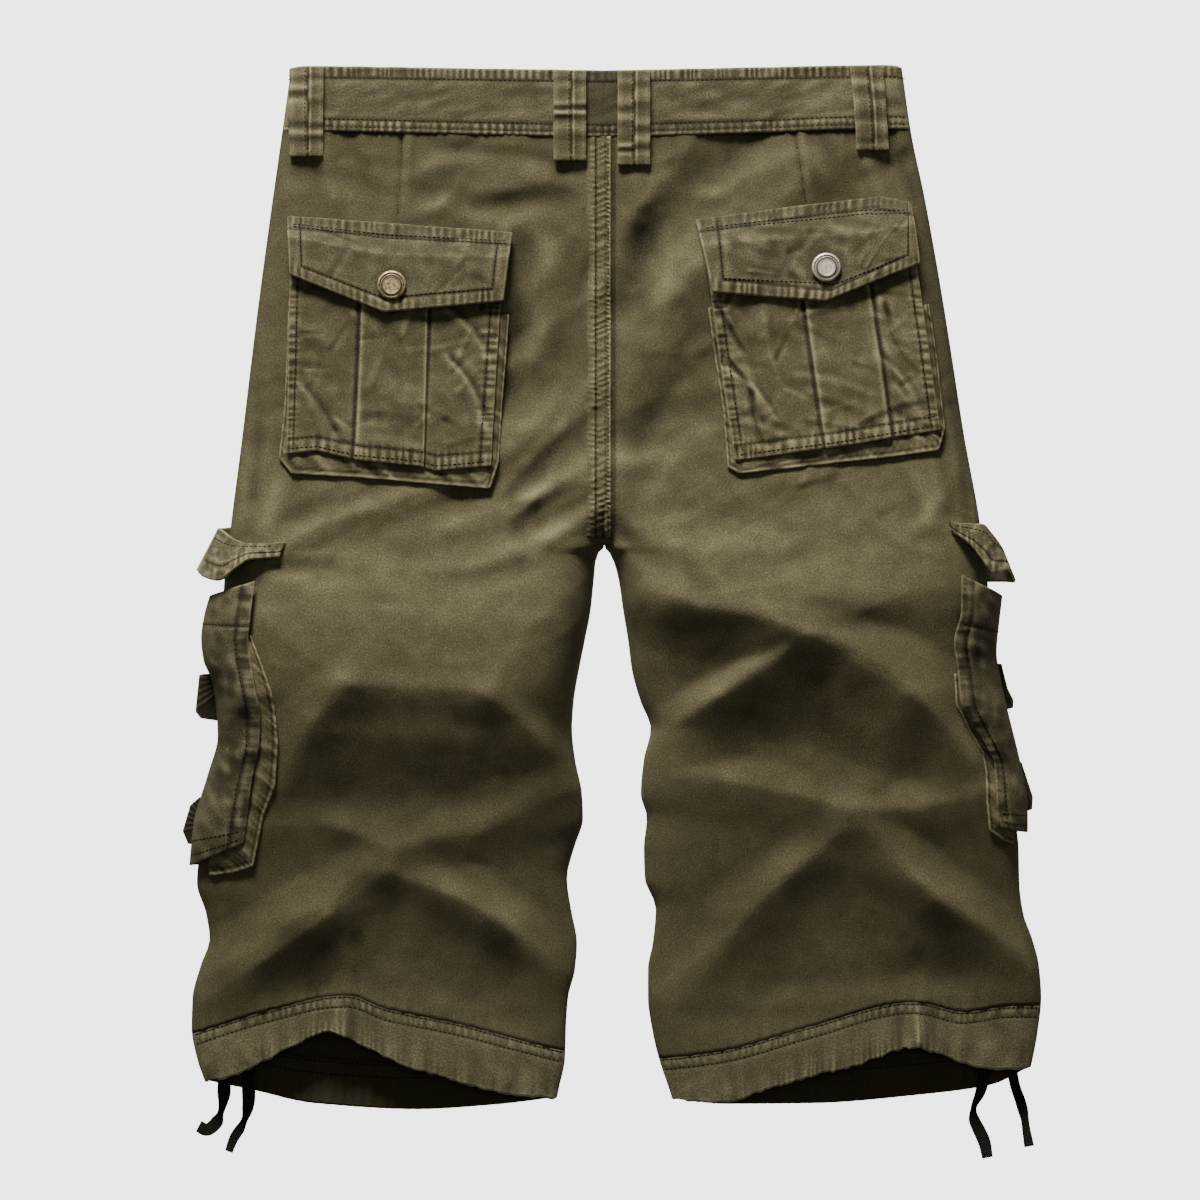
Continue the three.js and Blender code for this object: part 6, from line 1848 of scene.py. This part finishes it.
class Seam:
    """Gathers stitches along many rows into one piece."""

    def __init__(self, name):
        self.name = name
        self.vertices = []
        self.faces = []
        self.count = 0

    def row(self, surface, path, step, pitch=STITCH["pitch"], size=1.0):
        path = np.array(path, float)
        fine = np.linspace(0, len(path) - 1, 900)
        a = np.interp(fine, np.arange(len(path)), path[:, 0])
        b = np.interp(fine, np.arange(len(path)), path[:, 1])
        line = surface(a, b)
        arc = np.concatenate(([0], np.cumsum(np.linalg.norm(np.diff(line, axis=0), axis=1))))
        at = np.arange(pitch / 2, arc[-1], pitch)
        if not len(at):
            return
        a, b = np.interp(at, arc, a), np.interp(at, arc, b)
        centre = surface(a, b)
        ahead, behind = at + STITCH["look"], at - STITCH["look"]
        along = np.stack([np.interp(ahead, arc, line[:, k]) - np.interp(behind, arc, line[:, k])
                          for k in range(3)], axis=1)
        along /= np.linalg.norm(along, axis=1, keepdims=True) + 1e-12
        du = surface(a + step, b) - surface(a - step, b)
        dv = surface(a, b + step) - surface(a, b - step)
        normal = np.cross(du, dv)
        normal /= np.linalg.norm(normal, axis=1, keepdims=True) + 1e-12
        normal *= np.where(normal[:, 2:] < 0, -1, 1)
        beside = np.cross(normal, along)
        normal = np.cross(along, beside)
        local = STITCH_POINTS * size
        points = (
            centre[:, None, :]
            + along[:, None, :] * local[None, :, 0, None]
            + beside[:, None, :] * local[None, :, 1, None]
            + normal[:, None, :] * (local[None, :, 2, None] + STITCH["sink"])
        )
        for k in range(len(at)):
            start = (self.count + k) * len(STITCH_POINTS)
            self.faces.extend([[start + v for v in face] for face in STITCH_FACES])
        self.vertices.append(points.reshape(-1, 3))
        self.count += len(at)

    def make(self, thread=None):
        vertices = np.concatenate(self.vertices)
        uv = vertices[:, :2]
        piece = mesh_object(self.name, vertices, self.faces, uv, np.zeros(len(vertices)))
        dress(piece, thread or THREAD_MATERIAL)


def flat_surface(function, side):
    def surface(x, y):
        x, y = same_shape(x, y)
        return places(x, y, function(side, x, y))
    return surface


def band_stitches(side):
    seam = Seam(f"stitches_waistband_{side}")
    surface = flat_surface(band_surface, side)
    outer = float(outer_x(side, 320)) + INWARD[side] * 1.5
    inner = CROTCH[0] + INWARD[side] * -0.5
    x = np.linspace(outer, inner, 60)
    share = side_share_at(side, x, 320)
    top, bottom = curve(BAND_TOP[side], share), curve(BAND_SEAM[side], share)
    for y in (top - BAND_ROWS["top"], bottom + BAND_ROWS["lower"], bottom + BAND_ROWS["upper"]):
        seam.row(surface, np.stack((x, y), axis=1), STEP_MM)
    seam.make()


def hem_stitches(side):
    seam = Seam(f"stitches_hem_{side}")
    surface = flat_surface(hem_surface, side)
    share = np.linspace(0.01, 0.99, 80)
    for drop in HEM_ROWS:
        y = curve(HEM_SEAM[side], share) - drop
        x = mix(outer_x(side, y), inner_x(side, y), share)
        seam.row(surface, np.stack((x, y), axis=1), STEP_MM)
    inside = flat_surface(lambda side, x, y: hem_front_surface(side, x, y) + DOUBLE_CLOTH, side)
    share = np.linspace(0.06, 0.94, 80)
    for drop in FRONT_HEM_ROWS:
        y = curve(FRONT_HEM_EDGE[side], share) + FRONT_HEM_DEPTH - drop
        x = mix(outer_x(side, y), inner_x(side, y), share)
        seam.row(inside, np.stack((x, y), axis=1), STEP_MM)
    seam.make()


def pocket_stitches(side, face, flap):
    seam = Seam(f"stitches_back_pocket_{side}")
    beside, low = POCKET_ROWS["side"] / FACE_SIZE[0], POCKET_ROWS["bottom"] / FACE_SIZE[1]
    edge = 0.022
    seam.row(face, ((beside, 0.3), (beside, 1 - low * 0.4)), STEP_SHARE)
    seam.row(face, ((1 - beside, 0.3), (1 - beside, 1 - low * 0.4)), STEP_SHARE)
    for drop in (low, low * 0.3):
        seam.row(face, ((edge, 1 - drop), (1 - edge, 1 - drop)), STEP_SHARE)
    mid = BACK_POCKETS[side]["flap_point"]
    inset = POCKET_ROWS["flap"] / FLAP_SIZE[0]
    for v in (0.17, 0.13):
        seam.row(flap, ((0.02, v), (0.98, v)), STEP_SHARE)
    round_flap = ((inset, 0.17), (inset, 0.82), (mid, 0.85), (1 - inset, 0.82), (1 - inset, 0.17))
    seam.row(flap, round_flap, STEP_SHARE)
    seam.make()


def centre_stitches(surface):
    seam = Seam("stitches_centre_seam")
    for x in CENTRE_STRIP["rows"]:
        seam.row(surface, ((x, 297), (x, 36)), STEP_MM)
    seam.make()


def dart_stitches():
    """Dotted lines where the two darts are sewn."""
    for side, (x0, y0, x1, y1) in zip(SIDES, DARTS):
        seam = Seam(f"stitches_dart_{side}")
        seam.row(flat_surface(back_surface, side), ((x0, y0), (x1, y1)), STEP_MM, 2.6, 0.9)
        seam.make()


def loop_stitches(name, surface):
    at = LOOP_ROWS[name]
    seam = Seam(f"stitches_loop_{name}")
    seam.row(surface, ((at, 0.02), (at, 0.93)), STEP_LOOP, size=0.8)
    seam.make()
    tack = Seam(f"bar_tack_loop_{name}")
    across = np.linspace(0.05, 0.95, 16)
    zigzag = 0.955 + 0.02 * np.where(np.arange(16) % 2, 1, -1)
    tack.row(surface, np.stack((across, zigzag), axis=1), STEP_LOOP, 1.3, 0.75)
    tack.make(TACK_THREAD)


def cargo_stitches(side, face, flap):
    seam = Seam(f"stitches_cargo_{side}")
    seam.row(face, ((0.15, 0.16), (0.17, 0.5), (0.16, 0.95)), STEP_SHARE)
    seam.row(face, ((0.05, 0.15), (0.92, 0.15)), STEP_SHARE)
    for v in (0.935, 0.975):
        seam.row(face, ((0.06, v), (0.85, v)), STEP_SHARE)
    seam.row(flap, ((0.05, 0.7), (0.9, 0.7)), STEP_SHARE)
    seam.row(flap, ((0.12, 0.2), (0.9, 0.2)), STEP_SHARE)
    seam.make()


# Camera first, then the cords, then the rest
def make_camera():
    data = bpy.data.cameras.new("camera")
    data.lens = CAMERA["lens"]
    data.sensor_width = CAMERA["sensor"]
    camera = bpy.data.objects.new("camera", data)
    camera.location = CAMERA["place"]
    bpy.context.scene.collection.objects.link(camera)
    bpy.context.scene.camera = camera


def area_light(name, place, size, power, colour):
    data = bpy.data.lights.new(name, "AREA")
    data.shape = "RECTANGLE"
    data.size, data.size_y = size
    data.energy = power
    data.color = colour
    lamp = bpy.data.objects.new(name, data)
    lamp.location = place
    direction = Vector(LIGHT_AIM) - Vector(place)
    lamp.rotation_euler = direction.to_track_quat("-Z", "Y").to_euler()
    bpy.context.scene.collection.objects.link(lamp)


def make_lights():
    for row in LIGHTS:
        area_light(*row)
    world = bpy.data.worlds.new("studio")
    world.use_nodes = True
    background = world.node_tree.nodes["Background"]
    background.inputs["Color"].default_value = WORLD["colour"]
    background.inputs["Strength"].default_value = WORLD["strength"]
    bpy.context.scene.world = world


def make_floor():
    """Pale floor that looks white to the camera but lights the cloth only a little."""
    bpy.ops.object.select_all(action="DESELECT")
    bpy.ops.mesh.primitive_plane_add(size=FLOOR["size"], location=(0, 0, -FLOOR["depth"]))
    floor = bpy.context.active_object
    floor.name = "floor"
    material, tree, shader = new_material("pale_floor")
    shader.inputs["Base Color"].default_value = FLOOR["colour"]
    shader.inputs["Roughness"].default_value = 0.9
    shader.inputs["Specular IOR Level"].default_value = 0
    shader.inputs["Emission Color"].default_value = (1, 1, 1, 1)
    ray = tree.nodes.new("ShaderNodeLightPath")
    glow = map_range(tree, ray.outputs["Is Camera Ray"], 0, 1, FLOOR["bounce"], FLOOR["seen"])
    tree.links.new(glow, shader.inputs["Emission Strength"])
    floor.data.materials.append(material)


make_camera()
for cord_name, cord_route in CORD_ROUTES.items():
    drawcord(cord_name, cord_route)
make_floor()
make_lights()

for half in SIDES:
    front_panel(half)
    back_panel(half)
    hem_front(half)
    hem_back(half)
    waistband(half)
    hem_stitches(half)
    band_stitches(half)
    face_surface = back_pocket_face(half)
    gusset(f"back_gusset_cloth_{half}", f"back_pocket_gusset_{half}", half, BACK_POCKETS[half]["gusset"],
           POCKET_FACE_LIFT)
    flap_surface = back_pocket_flap(half)
    pocket_stitches(half, face_surface, flap_surface)
    snap_cap(half)
    side_surface = cargo_face(half)
    gusset(f"cargo_gusset_cloth_{half}", f"cargo_gusset_{half}", half, CARGO_POCKETS[half]["gusset"],
           CARGO_FACE_LIFT)
    side_flap_surface = cargo_flap(half)
    cargo_stitches(half, side_surface, side_flap_surface)
    for tab in range(2):
        cargo_tab(half, tab)

for loop_row in BELT_LOOPS:
    loop_stitches(loop_row[0], belt_loop(*loop_row))
centre_stitches(centre_seam())
dart_stitches()
fly_shield()

button = bpy.data.objects["waist_button"]
for material_slot in button.material_slots:
    material_slot.material = BUTTON_METAL
